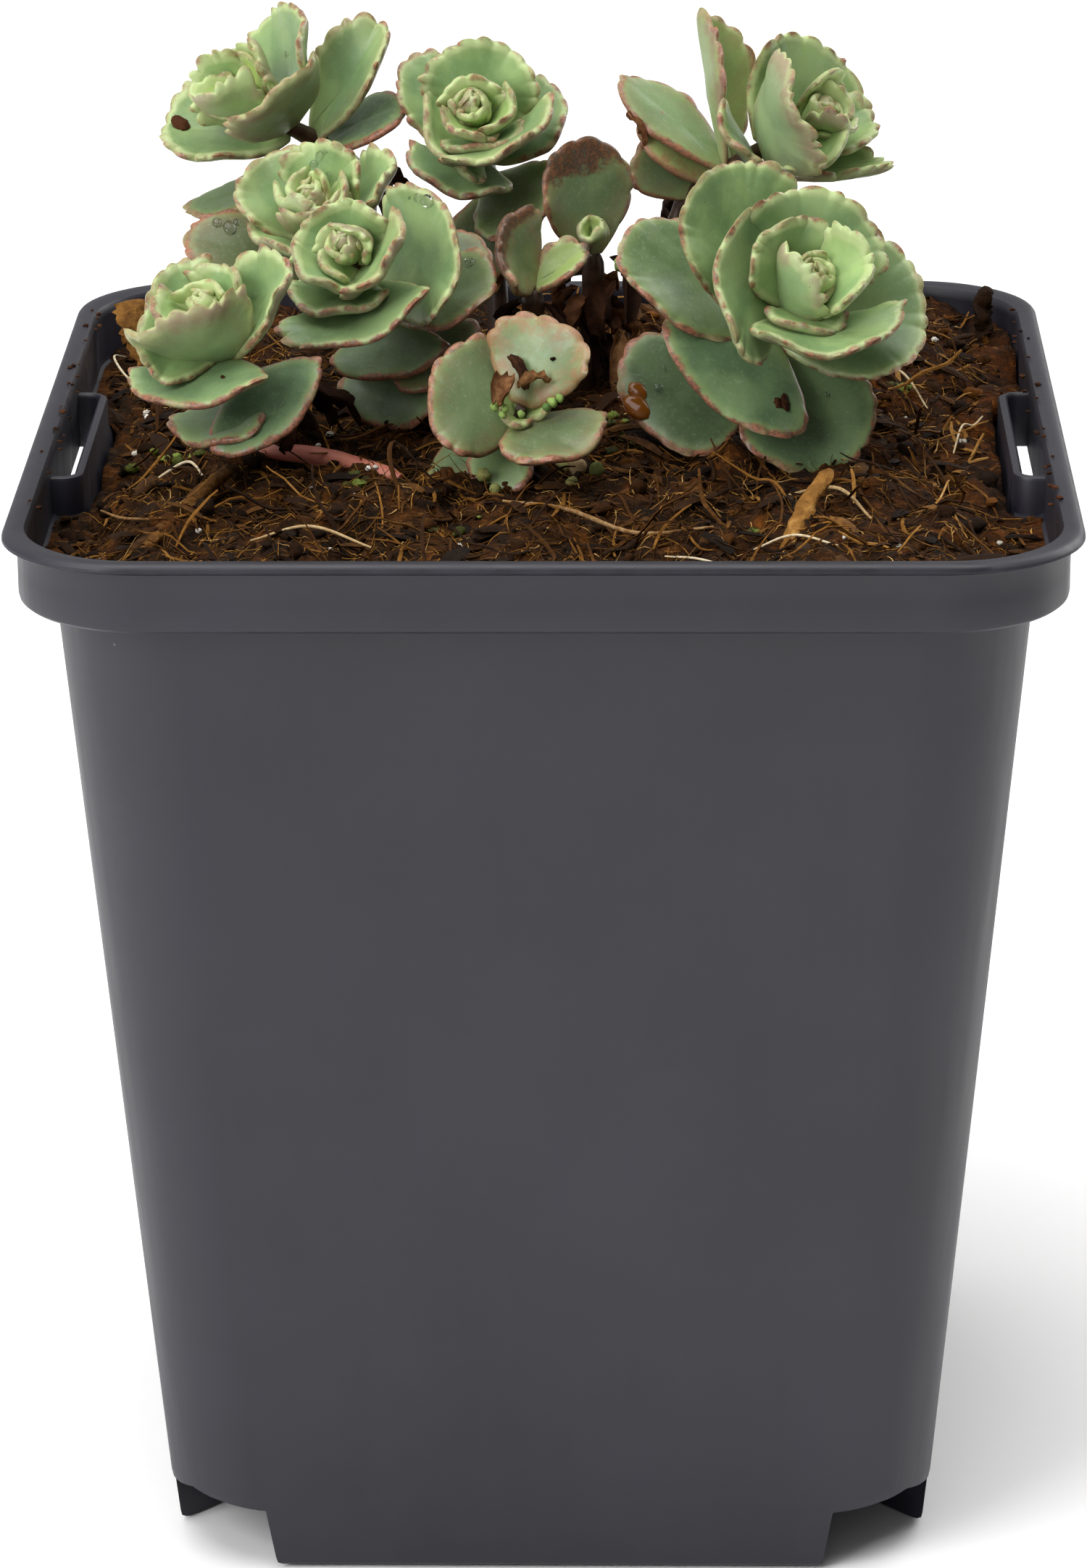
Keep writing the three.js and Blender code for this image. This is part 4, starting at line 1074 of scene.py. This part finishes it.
rosettes = {
    "rosette_back_left": {
        "root": (-20, 29), "base": (-27.3, 30, 141.2), "direction": (-0.72, -0.4, 0.57),
        "heart": heartOf(80, 0.8, 6.4),
        "leaves": [(47, 66, 13.5, 15.5, 3.2, -7, 0.4), (125, 36, 10.3, 8.5, 5.1, -5),
                   (65, 41, 9.9, 8.3, 4, -2), (178, 49, 15.1, 12.4, 1.8, 6), (326, 53, 12.8, 12.9, 2.9, -27),
                   (38, 92, 15.5, 9, -0.5, 20, 0.4, 1.2), (9, 104, 11.2, 9.2, -1.7, -8), (162, 36, 8, 5, 6.5),
                   (262, 23, 9.5, 7.2, 5.7, 6), (52, 46, 7.7, 4.1, 5.9, -1), (41, 48, 9.6, 4.7, 5.2),
                   (207, 49, 18.7, 8, -5.5, 6, 0.9)],
        "looks": {3: (0.25,), 4: (0, 0.3), 5: (0, 0.15), 6: (0.3,),
                  11: (0.6,)}},
    "rosette_back_middle": {
        "root": (-6, 24), "base": (-7.6, 26, 139.3), "direction": (-0.1, -0.64, 0.76),
        "heart": heartOf(35, 0.9, 7.6),
        "leaves": [(79, 47, 12.3, 13.3, 2.9, 1), (124, 68, 14.6, 9.8, 0.1, 3), (205, 47, 8.7, 13.8, 2.7, -6),
                   (31, 71, 11.4, 13.8, 1.1, -13), (308, 56, 10.7, 14.6, 5, -5), (239, 64, 9.2, 13.2, 0.8, 1),
                   (307, 75, 11.1, 11.2, -2.5, 15), (262, 100, 11, 9, -4.6, 2), (90, 31, 6.8, 7.5, 6.7, 4),
                   (344, 47, 7.5, 7.1, 6.3, -3), (257, 50, 7, 6.6, 7.4, -18), (288, 54, 7.7, 9.4, 5.4, -6),
                   (180, 32, 5.8, 3.2, 6.8)],
        "looks": {4: (0, 0.15), 5: (0.15,), 6: (0.85,), 7: (0.85, 0.2)}},
    "rosette_left_upper": {
        "root": (-19, 15), "base": (-24, 13, 133), "direction": (-0.24, -0.5, 0.83),
        "heart": heartOf(20, 0.8, 5.6),
        "leaves": [(140, 57, 11.2, 12, 2.4, 5), (65, 48, 9.9, 10.8, 2.9, -5),
                   (16, 62, 11.7, 12, 1.8, -17, 0.3), (177, 58, 17.7, 11.5, -4, -1, 1),
                   (228, 50, 10.6, 11.6, 0.3, 4), (182, 26, 5.6, 6.4, 5.3, 2), (-10, 48, 7.1, 5.9, 4.6, -2),
                   (61, 33, 6.2, 4, 4.4), (254, 28, 7.8, 10.8, 2.6, -12), (292, 37, 7.2, 8.6, 3.2, -4)],
        "looks": {0: (0, 0.15), 3: (0.8, 0.3), 9: (0, 0.3)}},
    "rosette_left_middle": {
        "root": (-13, 3), "base": (-18.2, 0, 131.2), "direction": (-0.33, -0.6, 0.73),
        "heart": heartOf(75, 0.8, 7.2),
        "leaves": [(103, 40, 8.8, 11.5, 4.1, -12), (12, 58, 14.3, 17.1, -1.2, 11),
                   (208, 49, 8.3, 10.5, 4.7, 4), (241, 62, 8.8, 13, 3.2, 6), (324, 54, 10.5, 11, 5.4, 4),
                   (269, 72, 11.8, 17.4, 3, 4), (355, 81, 13.5, 11.9, -2.6, -12),
                   (35, 93, 12.8, 10.6, -2.5, 3), (260, 98, 7, 14.5, -4.5, 5),
                   (250, 100, 10.5, 13.2, -8.2, 4), (318, 96, 8.6, 12, -7.6, -12),
                   (76, 24, 5.4, 6.6, 6.8, -3), (190, 41, 5.2, 8.1, 5.8, -4),
                   (31, 42, 4.4, 5.4, 6.5, 4)],
        "looks": {4: (0, 0.25), 6: (0.55, 0.1), 7: (0.85, 0.2),
                  8: (0.6,), 9: (0.6,), 10: (0.7, 0.3)}},
    "rosette_front_left": {
        "root": (-26, 3), "base": (-33.2, -13, 127.2), "direction": (-0.3, -0.38, 0.88),
        "heart": heartOf(60, 0.75, 6),
        "leaves": [(137, 46, 9.3, 10.2, 3.8, 8), (40, 44, 7.4, 8.8, 4.6, 2), (175, 60, 9.3, 13.8, 2.5, -17),
                   (10, 53, 13.4, 10.5, 1.2, 9, 0.35, 0.8), (252, 38, 12.6, 14.5, 1, 18),
                   (247, 78, 10.6, 16.9, 1.2, 1), (301, 98, 10.2, 14.9, -1.8, 11),
                   (242, 84, 9, 12.5, -4.3, 4), (194, 50, 7.3, 8, 5.4, -1),
                   (76, 28, 4.6, 6.2, 6.3, -1), (0, 50, 6.2, 4.6, 3.8, -1)],
        "looks": {4: (0, 0.4), 6: (0.1,), 7: (0.3,)}},
    "sprout_front": {
        "root": (-8.3, -9.8), "base": (-2.9, -16, 121.3), "direction": (0.05, -0.55, 0.83),
        "heart": {"turn": 10, "whorls": [(50, 4.5, 3.4, 1.2)]},
        "leaves": [(172, 60, 11.2, 15.5, 0, -6, 0.8), (66, 54, 10.2, 12.2, 3, -10, 0.7),
                   (308, 72, 10.2, 13, 1.6, -7, 0.8), (168, 118, 11, 10.6, -3.2, 12),
                   (243, 97, 7.2, 7.5, -2, 5)],
        "looks": {0: (0.65, 0.3), 1: (0, 0.9), 2: (0.5, 0.3),
                  3: (0.3, 0.2), 4: (0.4,)}},
    "rosette_right": {
        "root": (17, 6), "base": (23.8, -4, 128.1), "direction": (0.38, -0.6, 0.7),
        "heart": heartOf(50, 0.9, 8.2),
        "leaves": [(137, 64, 18.7, 16.5, 1.8, -7), (162, 82, 19.5, 14, -0.2, 1), (234, 90, 13, 19.4, 0.2, -1),
                   (301, 92, 16.2, 16.2, -1.7, 11, 0.85), (13, 60, 16.9, 18.1, 0, 6),
                   (85, 52, 13.9, 16.2, 3.8, -2), (186, 60, 13.4, 18, 3.4, -12), (289, 57, 12.4, 18, 4.7, 3),
                   (129, 46, 10.5, 11.4, 5.2, -11), (13, 35, 10.5, 10, 6.5, -4), (204, 26, 10.8, 8.8, 4, 12),
                   (275, 56, 7.5, 9.1, 5.2, 3), (97, 35, 5.8, 4.6, 7.5, -2), (326, 41, 4.6, 4.4, 7.5, 1),
                   (214, 100, 15.5, 16.2, -5.3, 7)],
        "looks": {1: (0.35,), 3: (0.15,), 4: (0.2,), 14: (0.4,)}},
    "rosette_back_right": {
        "root": (15, 25), "base": (22.6, 24, 140.9), "direction": (0.7, -0.4, 0.59),
        "heart": heartOf(50, 0.8, 7),
        "leaves": [(78, 53, 13.9, 16.3, 0.6, 1), (19, 54, 11.1, 9.5, 3.5, -17), (209, 43, 15, 14.5, 0.8, -3),
                   (305, 33, 11, 9.5, 2.2, 51), (337, 42, 17, 8.5, -2.8, -12), (99, 36, 8.2, 4.2, 6, -3),
                   (42, 30, 6, 5.6, 7), (-3, 36, 6, 6, 6.2), (293, 39, 6.6, 5.9, 7.2, -5),
                   (128, 71, 18.3, 7, -5, 7, 0.6, 3.2), (147, 103, 16, 8, -4, -12),
                   (159, 96, 11, 6.5, -6.5, -26, 0.8), (200, 72, 9.5, 9, -0.5, 10, 0.5),
                   (150, 93, 8.6, 9.5, -9.5, -45, 0.8)],
        "looks": {2: (0, 0.3), 9: (0, 0.35), 10: (0, 0.25), 11: (0, 0.85),
                  12: (0, 0.15), 13: (0.6, 0.25)}},
    "shoot_middle": {
        "root": (4, 14), "base": (4.6, 12, 132.9), "direction": (0, -0.3, 0.95),
        "heart": {"turn": 300, "whorls": [(30, 4, 3, 0)]},
        "leaves": [(110, 20, 13.6, 11.5, -0.9, 11, 0.8)],
        "looks": {0: (0.45, 0.3, 0.75)}},
    "shoot_small": {
        "root": (-2, 7), "base": (-1.8, 4, 130.5), "direction": (0, -0.35, 0.94),
        "heart": {"turn": 40, "whorls": []},
        "leaves": [(172, 27, 9, 12, 0.2, -8, 0.6, 0.8), (26, 60, 7.6, 5, 0.1, 6, 0.6, 0.8)],
        "looks": {0: (0.5, 0.6, 0.7), 1: (0.4, 0, 0.3)}},
}


# Living succulent leaf, grown, not made: fleshy, with a thin waxy bloom over blue-green, greener and paler
# when young, a pink-brown rim that is strongest on the teeth, and a little light passing through.
leafSkin = makeSurface("waxy succulent leaf skin", {
    # patterns by their sizes in mm; the cell grain is drawn coarser than it is, to show
    "clouds": ("noise", "where", scaleFor(5), 3, 0.5), "mottle": ("noise", "where", scaleFor(1.4), 4, 0.65),
    "grain": ("noise", "where", scaleFor(0.45), 3, 0.7), "cell": ("cells", "where", scaleFor(1.2)),
    # the rim's distance shifted by tooth, age and mottling
    "bandEdge": ("sum", ("rim", 1), ("mottle", 1.6)),
    "flushEdge": ("sum", ("rim", 1), ("youth", 0.62), ("lobe", -0.2), ("mottle", 1.3), ("clouds", 1.1)),
    "driedEdge": ("sum", ("along", 1), ("dried", 0.5), ("mottle", 0.3), ("clouds", 0.3)),
    "paleEdge": ("sum", ("rim", 1), ("youth", -0.9), ("mottle", 0.8)),
    # each share eases from one number to another as its source goes from low to high
    "cloudy": ("ease", "clouds", 0.35, 0.65), "toned": ("ease", "leafTone", 0, 1, 0, 0.32),
    "base": ("ease", "along", 0.32, 0, 0, 0.55), "below": ("ease", "under", 0.5, 1, 0, 0.4),
    "band": ("ease", "bandEdge", 2.5, 1, 0, 0.42), "pale": ("ease", "paleEdge", 0.75, 0.2, 0, 0.6),
    "edge": ("ease", "flushEdge", 1.92, 1.42, 0, 0.95), "broken": ("ease", "clouds", 0.36, 0.5, 0.5, 1),
    "driedTip": ("ease", "driedEdge", 1.36, 1.46, 0, 0.95), "freckled": ("ease", "grain", 0.42, 0.6),
    "wide": ("ease", "rim", 4.2, 0.2, 0.15, 1), "patchy": ("ease", "mottle", 0.38, 0.6, 0.3, 1),
    "belowRim": ("ease", "rim", 2.8, 0.3, 0, 0.6), "belowOnly": ("ease", "under", 0.6, 1),
    "smudge": ("ease", "clouds", 0.42, 0.58), "bloom": ("ease", "grain", 0.52, 0.75, 0, 0.22),
    "dot": ("ease", "cell", 0.1, 0.05, 0, 0.7), "few": ("ease", "cellPick", 0.86, 0.87),
    "gloss": ("ease", "mottle", 0.3, 0.7, 0.3, 0.44),
    "flush": ("product", "edge", "broken"), "blushed": ("product", "blush", "wide", "patchy"),
    "purpled": ("product", "belowRim", "belowOnly", "smudge"), "speck": ("product", "dot", "few"),
    "old": ("mix", "cloudy", "#41563f", "#5d7553"), "young": ("mix", "cloudy", "#86a668", "#a9c37b"),
    "rimPink": ("mix", "freckled", "#9a604c", "#66392d"), "dead": ("mix", "freckled", "#6b4630", "#3a2318"),
    "bark": ("mix", "patchy", "#261811", "#463022"),
    "body": ("layers", "old", ("youth", "young"), ("fresh", "#b7cd74"), ("olive", "#525c36"),
             ("toned", "#7f9a70"), ("base", "#9db472"), ("below", "#9aab8a"), ("band", "#93a364"),
             ("pale", "#bcc791"), ("flush", "rimPink"), ("blushed", "#96704e"), ("driedTip", "dead"),
             ("purpled", "#8c6a64"), ("speck", "#3a3824"), ("bloom", "#a3b69c"), ("stem", "bark")),
    "lumps": ("bump", "clouds", 0.3, 0.0004), "skin": ("bump", "grain", 0.15, 0.0001, "lumps"),
}, {"Base Color": "body", "Roughness": "gloss", "IOR": 1.42, "Subsurface Weight": 0.2,
    "Subsurface Radius": (0.6, 1.0, 0.35), "Subsurface Scale": 0.0011, "Normal": "skin"}, leafValues)

for seed, (name, rosette) in enumerate(rosettes.items()):
    rosette["frame"] = rosetteFrame(rosette["direction"])
    listed = rosette["leaves"] + heartLeaves(rosette["heart"])
    shapes = [leafShape(rosette, entry, order, rosette["looks"].get(order, ()), seed)
              for order, entry in enumerate(listed)]
    makePiece(name + "_leaves", shapes + [stemShape(rosette)], leafSkin, 75, name)
print("rosettes")


# Drops, debris and small growth

def leafSpot(name, order, along, across, lift=0.6):
    # a place on a leaf's upper face, by shares of its length and half width, and the face's direction
    leaf = leafFacts(rosettes[name]["leaves"][order], order)

    def layerAt(a, b):
        z = leaf["cup"] * b * b * min(1, a * 2) + leaf["curl"] * a * a + leaf["fold"] * abs(b)
        return a * leaf["length"], b * leaf["width"] / 2, z

    local = np.array([layerAt(along, across), layerAt(along + 0.01, across), layerAt(along, across + 0.01)])
    spot, ahead, beside = leafPlaced(rosettes[name], leaf, local)
    face = unit(np.cross(ahead - spot, beside - spot))
    return spot + face * lift, face


def blobShape(draw, centre, face, sizes, roughness):
    # a rounded lump lying on a face: sizes are its two half widths and its half height
    tone = draw.random()
    ball, faces = roundBall(7, 12)
    side, ahead = acrossOf(face, (-0.3, 0.8, -0.5))
    rough = np.array([1 + roughness * draw.uniform(-1, 1) for _ in ball])[:, None]
    points = np.asarray(centre) + ball * rough * np.array(sizes) @ np.array([side, ahead, face])
    return shapeOf((points, faces), tone=tone)


def makeBlobs(name, rows, material, seed, roughness):
    draw = random.Random(seed)
    makePiece(name, [blobShape(draw, *row, roughness) for row in rows], material, 80)


# by leaf: shares along and across it, and half width in mm
drops = {
    ("rosette_left_upper", 1): [(0.84, 0.2, 0.5), (0.74, 0.34, 0.42), (0.64, -0.04, 0.36), (0.9, 0.02, 0.3)],
    ("rosette_left_upper", 3): [(0.82, -0.5, 0.55), (0.74, -0.44, 0.8), (0.7, -0.6, 0.4)],
    ("rosette_left_middle", 1): [(0.88, 0.5, 0.7), (0.82, 0.62, 0.5), (0.76, 0.7, 0.34)],
    ("rosette_left_middle", 6): [(0.74, 0.6, 0.6), (0.66, 0.7, 0.35)],
    ("rosette_front_left", 3): [(0.55, 0.3, 0.45), (0.4, 0.1, 0.35)],
    ("rosette_front_left", 6): [(0.7, 0.2, 0.3)], ("rosette_back_left", 0): [(0.6, 0.1, 0.3)],
    ("rosette_right", 14): [(0.72, -0.2, 0.5), (0.6, -0.4, 0.32)],
    ("rosette_right", 8): [(0.54, -0.4, 0.32)], ("rosette_right", 3): [(0.5, 0.4, 0.26)],
}
dropRows = []
for leaf, rows in drops.items():
    for along, across, size in rows:
        spot, face = leafSpot(*leaf, along, across, 0.62)
        dropRows.append((spot, face, (size, size * 1.25, size * 0.5)))
# tap water left from misting: colourless, domed by surface tension, so each drop holds one sharp glint
clearWater = makeSurface("clear water drops", {}, {"Base Color": "#ffffff", "Roughness": 0.02, "IOR": 1.33,
                                                   "Transmission Weight": 1.0})
makeBlobs("water_drops", dropRows, clearWater, 5, 0.06)

# thick drop of brown peat water on the lowest right leaf: see-through amber with a wet shine
amberWater = makeSurface("amber peat water", {}, {"Base Color": "#9a5a1e", "Roughness": 0.08, "IOR": 1.36,
                                                  "Transmission Weight": 0.55})
spot, face = leafSpot("rosette_right", 14, 0.93, -0.1, 0.5)
other, _ = leafSpot("rosette_right", 14, 0.86, -0.3, 0.5)
amberRows = [(spot, face, (1.3, 1.8, 0.5)), (other, face, (1, 1.2, 0.4))]
makeBlobs("amber_drop", amberRows, amberWater, 9, 0.1)


def driedScrap(draw, centre, length, width, heading, tilt, curl):
    # a dried leaf scrap: a thin crumpled sheet that curls across its width
    along = headed(heading, tilt)
    side, up = acrossOf(along, (0.1, 0.05, 1))
    rows, columns, layers = 8, 6, []
    crumple = [[draw.uniform(-1, 1) for _ in range(columns)] for _ in range(rows)]
    for thickness in (0.11, -0.11):
        for row in range(rows):
            a = row / (rows - 1)
            taper = math.sin(math.pi * (0.12 + 0.8 * a)) ** 0.6
            for column in range(columns):
                bend = (column / (columns - 1) * 2 - 1) * curl
                sheet = side * math.sin(bend) / curl + up * (1 - math.cos(bend)) / curl
                crease = crumple[row][column]
                spot = centre + along * ((a - 0.5) * length + 0.06 * length * crease)
                lift = thickness + 0.11 * width * crease + 0.12 * length * math.sin(math.pi * a)
                layers.append(spot + sheet * width / 2 * taper + up * lift)
    return shapeOf((np.array(layers), sheetFaces(rows, columns)), tone=draw.random())


# dried leaf remains: middle, length, width, heading, tilt and curl
driedLeaves = [
    ((-4.4, -19.5, 126.4), 4.2, 3.4, 1.2, 0.5, 1.5), ((-1.2, -19.2, 127), 3.4, 2.6, 0.2, 0.2, 1.8),
    ((-3.2, -17.4, 127.6), 3.8, 2.2, 2.4, 0.9, 1.6), ((9.6, 9.5, 133.5), 6.5, 3.4, 1.2, 1.1, 1.7),
    ((8.0, 9.0, 129.5), 7.5, 3.6, 1.8, 1.2, 1.9), ((6.2, 11.4, 126.8), 6.2, 4.2, 0.7, 1.3, 1.4),
    ((3.4, 12.2, 122.5), 7.0, 4.0, 2.2, 1.2, 1.6), ((7.6, 11.0, 120.8), 6.5, 3.8, 1.4, 1.0, 1.5),
    ((9.2, 25.5, 143.4), 4.2, 2.6, 2.6, 1.0, 1.8), ((-12.8, 6.6, 118.2), 7.2, 4.6, 0.4, 0.6, 1.3),
    ((-9.2, 4.0, 119.4), 6.0, 4.4, 2.6, 0.8, 1.5), ((-3.6, 6.4, 122.4), 5.0, 3.2, 1.9, 1.2, 1.6),
    ((1.0, 5.4, 119.2), 6.2, 4.0, 0.5, 0.5, 1.4), ((13.6, 4.2, 120.5), 7.0, 4.6, 1.2, 0.9, 1.6),
    ((17.2, 8.0, 122.8), 6.4, 3.6, 2.3, 1.1, 1.6), ((-23.4, 1.8, 118.4), 6.6, 4.6, 2.9, 0.5, 1.2),
    ((-19.6, 14.6, 122.2), 6.0, 3.6, 1.3, 1.1, 1.5), ((-1.8, 14.2, 122.0), 6.2, 3.8, 0.9, 1.1, 1.7),
]
draw = random.Random(77)
scraps = [driedScrap(draw, np.array(centre), *shape) for centre, *shape in driedLeaves]
# old leaves hanging dried on the lower stems
skirts = {"rosette_back_left": 7, "rosette_back_middle": 9, "rosette_left_upper": 8, "rosette_left_middle": 9,
          "rosette_front_left": 8, "rosette_right": 10, "rosette_back_right": 9, "shoot_middle": 14,
          "shoot_small": 10}
for name, count in skirts.items():
    path = stemPath(rosettes[name])
    for _ in range(count):
        spot = np.array(path[draw.randint(7, 14)])
        heading, length = draw.uniform(0, 2 * math.pi), draw.uniform(3.2, 6)
        hang = np.array([math.cos(heading), math.sin(heading), draw.uniform(-0.5, 0.1)])
        reach = hang * (length * 0.42 + 0.6)
        scraps.append(driedScrap(draw, spot + reach, length, draw.uniform(2.2, 4.2), heading,
                                 draw.uniform(-1.3, -0.3), draw.uniform(1.3, 2)))
driedTones = ((0.0, "#150b07"), (0.45, "#311c11"), (0.8, "#59371f"), (1.0, "#86603c"))
driedSkin = tonedMatter("dried leaf skin", driedTones, 0.75, 0.9, 0.0003)
makePiece("dried_leaf_scraps", scraps, driedSkin, 60)


# Specks of peat and bark caught on the leaves, and then along the pot's lip. A row has the leaf, shares
# along and across it, and the speck's half length and half width in mm.
draw = random.Random(41)
caught = [("rosette_back_left", 3, 0.86, -0.08, 1.25, 0.75), ("rosette_right", 2, 0.52, 0.64, 1.0, 0.5),
          ("rosette_right", 2, 0.56, 0.58, 0.6, 0.4), ("rosette_right", 8, 0.3, 0.1, 0.8, 0.3),
          ("rosette_right", 0, 0.4, -0.5, 0.35, 0.3), ("rosette_left_middle", 6, 0.5, 0.2, 0.35, 0.25),
          ("rosette_front_left", 5, 0.5, 0.3, 0.3, 0.2), ("sprout_front", 1, 0.6, -0.3, 0.3, 0.22)]
speckRows = []
for name, order, along, across, length, width in caught:
    spot, face = leafSpot(name, order, along, across, 0.66)
    speckRows.append((spot, face, (width, length, 0.22)))
for _ in range(54):
    side = draw.choice((-1, 1))
    place = (side * draw.uniform(51.6, 53.6), draw.uniform(-42, 42), 118.55)
    size = draw.uniform(0.1, 0.34)
    speckRows.append((place, (0, 0, 1), (size, size * draw.uniform(0.6, 1.6), size * 0.5)))
peatSpecks = tonedMatter("peat specks", ((0.0, "#1a0d07"), (1.0, "#4a2a16")), 0.85, 0.7, 0.0003)
makeBlobs("caught_specks", speckRows, peatSpecks, 6, 0.35)


def groundRow(x, y, size, flat, sink=0.2):
    return (x, y, groundAt(x, y) + size * flat * (1 - sink)), (0, 0, 1), (size, size * 0.85, size * flat)


# perlite: white puffed grains among the peat
draw = random.Random(19)
grains = []
for _ in range(70):
    x, y = scatterSpot(draw, 2)
    grains.append(groundRow(x, y, draw.uniform(0.16, 0.5), 0.8))
perliteTones = ((0.0, "#b9b2a4"), (1.0, "#e6e2d8"))
perlite = tonedMatter("puffed perlite", perliteTones, 0.9, 0.4, 0.0002)
makeBlobs("perlite_grains", grains, perlite, 3, 0.25)

# liverwort and moss in patches, the largest in the damp middle, and a few pale buds in front of it
draw = random.Random(29)
growth, buds = [], []
for centreX, centreY, spread, count in ((10, -5, 4.5, 26), (5, 1, 3, 12), (-41, -3, 4, 16), (-20, -18, 3, 8),
                                        (-9, -31, 2.5, 7), (38, 16, 3, 7), (21, -31, 2.5, 6)):
    for _ in range(count):
        x, y = draw.gauss(centreX, spread / 2), draw.gauss(centreY, spread / 2)
        growth.append(groundRow(x, y, draw.uniform(0.25, 0.8), draw.uniform(0.4, 0.9), -0.2))
for x, y, size in ((1.6, -13.8, 0.9), (3.2, -15.6, 1), (5.2, -17.4, 0.85), (2.6, -18.4, 0.8),
                   (-0.6, -15.4, 0.7), (-6.6, -19.6, 0.8), (-5.4, -21, 0.7)):
    buds.append(groundRow(x, y, size, 0.9, -0.3))
mossTones = ((0.0, "#27290f"), (0.5, "#454a1a"), (1.0, "#728236"))
budTones = ((0.0, "#6e7440"), (0.6, "#98965c"), (1.0, "#a98d68"))
liverwort = tonedMatter("damp liverwort", mossTones, 0.5, 0.8, 0.0003)
makeBlobs("moss_and_liverwort", growth, liverwort, 13, 0.3)
budSkin = tonedMatter("new shoot buds", budTones, 0.55, 0.6, 0.0002)
makeBlobs("new_buds", buds, budSkin, 17, 0.18)

# small green buds in the hearts of the middle shoots
heartBuds = [((-4.9, -20.0, 125.4), 0.62), ((-4.3, -20.6, 124.8), 0.5), ((-5.4, -20.3, 124.8), 0.55),
             ((-4.6, -20.9, 124.2), 0.45), ((0.6, -19.8, 125.2), 0.6), ((1.4, -19.6, 125.6), 0.5),
             ((0, -20.3, 124.8), 0.5), ((-2.6, -21.4, 124.4), 0.5), ((7.6, 9.6, 132.2), 0.9),
             ((8.4, 9.2, 133.2), 0.7)]
budRows = [(centre, unit((0.1, -0.6, 0.8)), (size * 0.8, size, size * 0.8)) for centre, size in heartBuds]
freshTones = ((0.0, "#54703a"), (1.0, "#8ca659"))
freshSkin = tonedMatter("fresh bud skin", freshTones, 0.5, 0.6, 0.0002)
makeBlobs("heart_buds", budRows, freshSkin, 23, 0.15)

# thin roots and stalks lying over the soil: thickness in mm, tone, then the route above the ground
strands = [
    (0.34, 0.92, [(-43, -10.7, 0.5), (-40.8, -8.6, 1.9), (-38.4, -8.2, 1.5), (-36.2, -13.4, 0.5)]),
    (0.3, 0.95, [(-49.6, 41, 1.2), (-50.4, 36, 2.6), (-49.2, 31, 2.2), (-46.8, 25, 0.8)]),
    (0.3, 0.85, [(43.5, -3.4, 0.4), (44.6, 1, 1.8), (46, 4.2, 2.2), (47.2, 8, 0.6)]),
    (0.5, 0.6, [(-4.4, -28.6, 0.7), (2.2, -31, 0.9), (9.4, -33.2, 0.7), (17.4, -35.2, 0.5)]),
    (0.42, 0.7, [(25, -18, 0.6), (30.4, -23, 1.4), (33.8, -29.5, 0.5)]),
    (0.3, 0.9, [(21.5, -36, 0.4), (25.6, -37.8, 1.6), (30, -41, 0.6)]),
    (0.36, 0.75, [(-30, -38, 0.5), (-24, -36.4, 1.3), (-17.6, -38.8, 0.5)]),
    (0.3, 0.85, [(34, 22, 0.5), (38.6, 18.2, 2.0), (41.4, 12.8, 0.6)]),
    (0.34, 0.55, [(-47, -20, 0.6), (-44.4, -25, 1.6), (-41, -31, 0.7)]),
    (0.26, 0.95, [(12.4, -39.6, 0.4), (15.8, -41.6, 1.4), (20, -42.4, 0.4)]),
]
shapes, count = [], 22
for thickness, tone, route in strands:
    path = smoothPath([(x, y, groundAt(x, y) + above) for x, y, above in route], count)
    radii = [thickness / 2 * (0.55 + 0.45 * math.sin(math.pi * (k + 1) / (count + 1))) for k in range(count)]
    shapes.append(shapeOf(tubeShape(path, radii, 7), tone=tone))
strandTones = ((0.0, "#3b2413"), (0.55, "#7d5a35"), (0.8, "#b59b70"), (1.0, "#dccfb2"))
dryRootSkin = tonedMatter("dry root skin", strandTones, 0.7, 0.6, 0.0002)
makePiece("pale_roots_and_stalks", shapes, dryRootSkin, 60)
print("drops, debris and small growth")
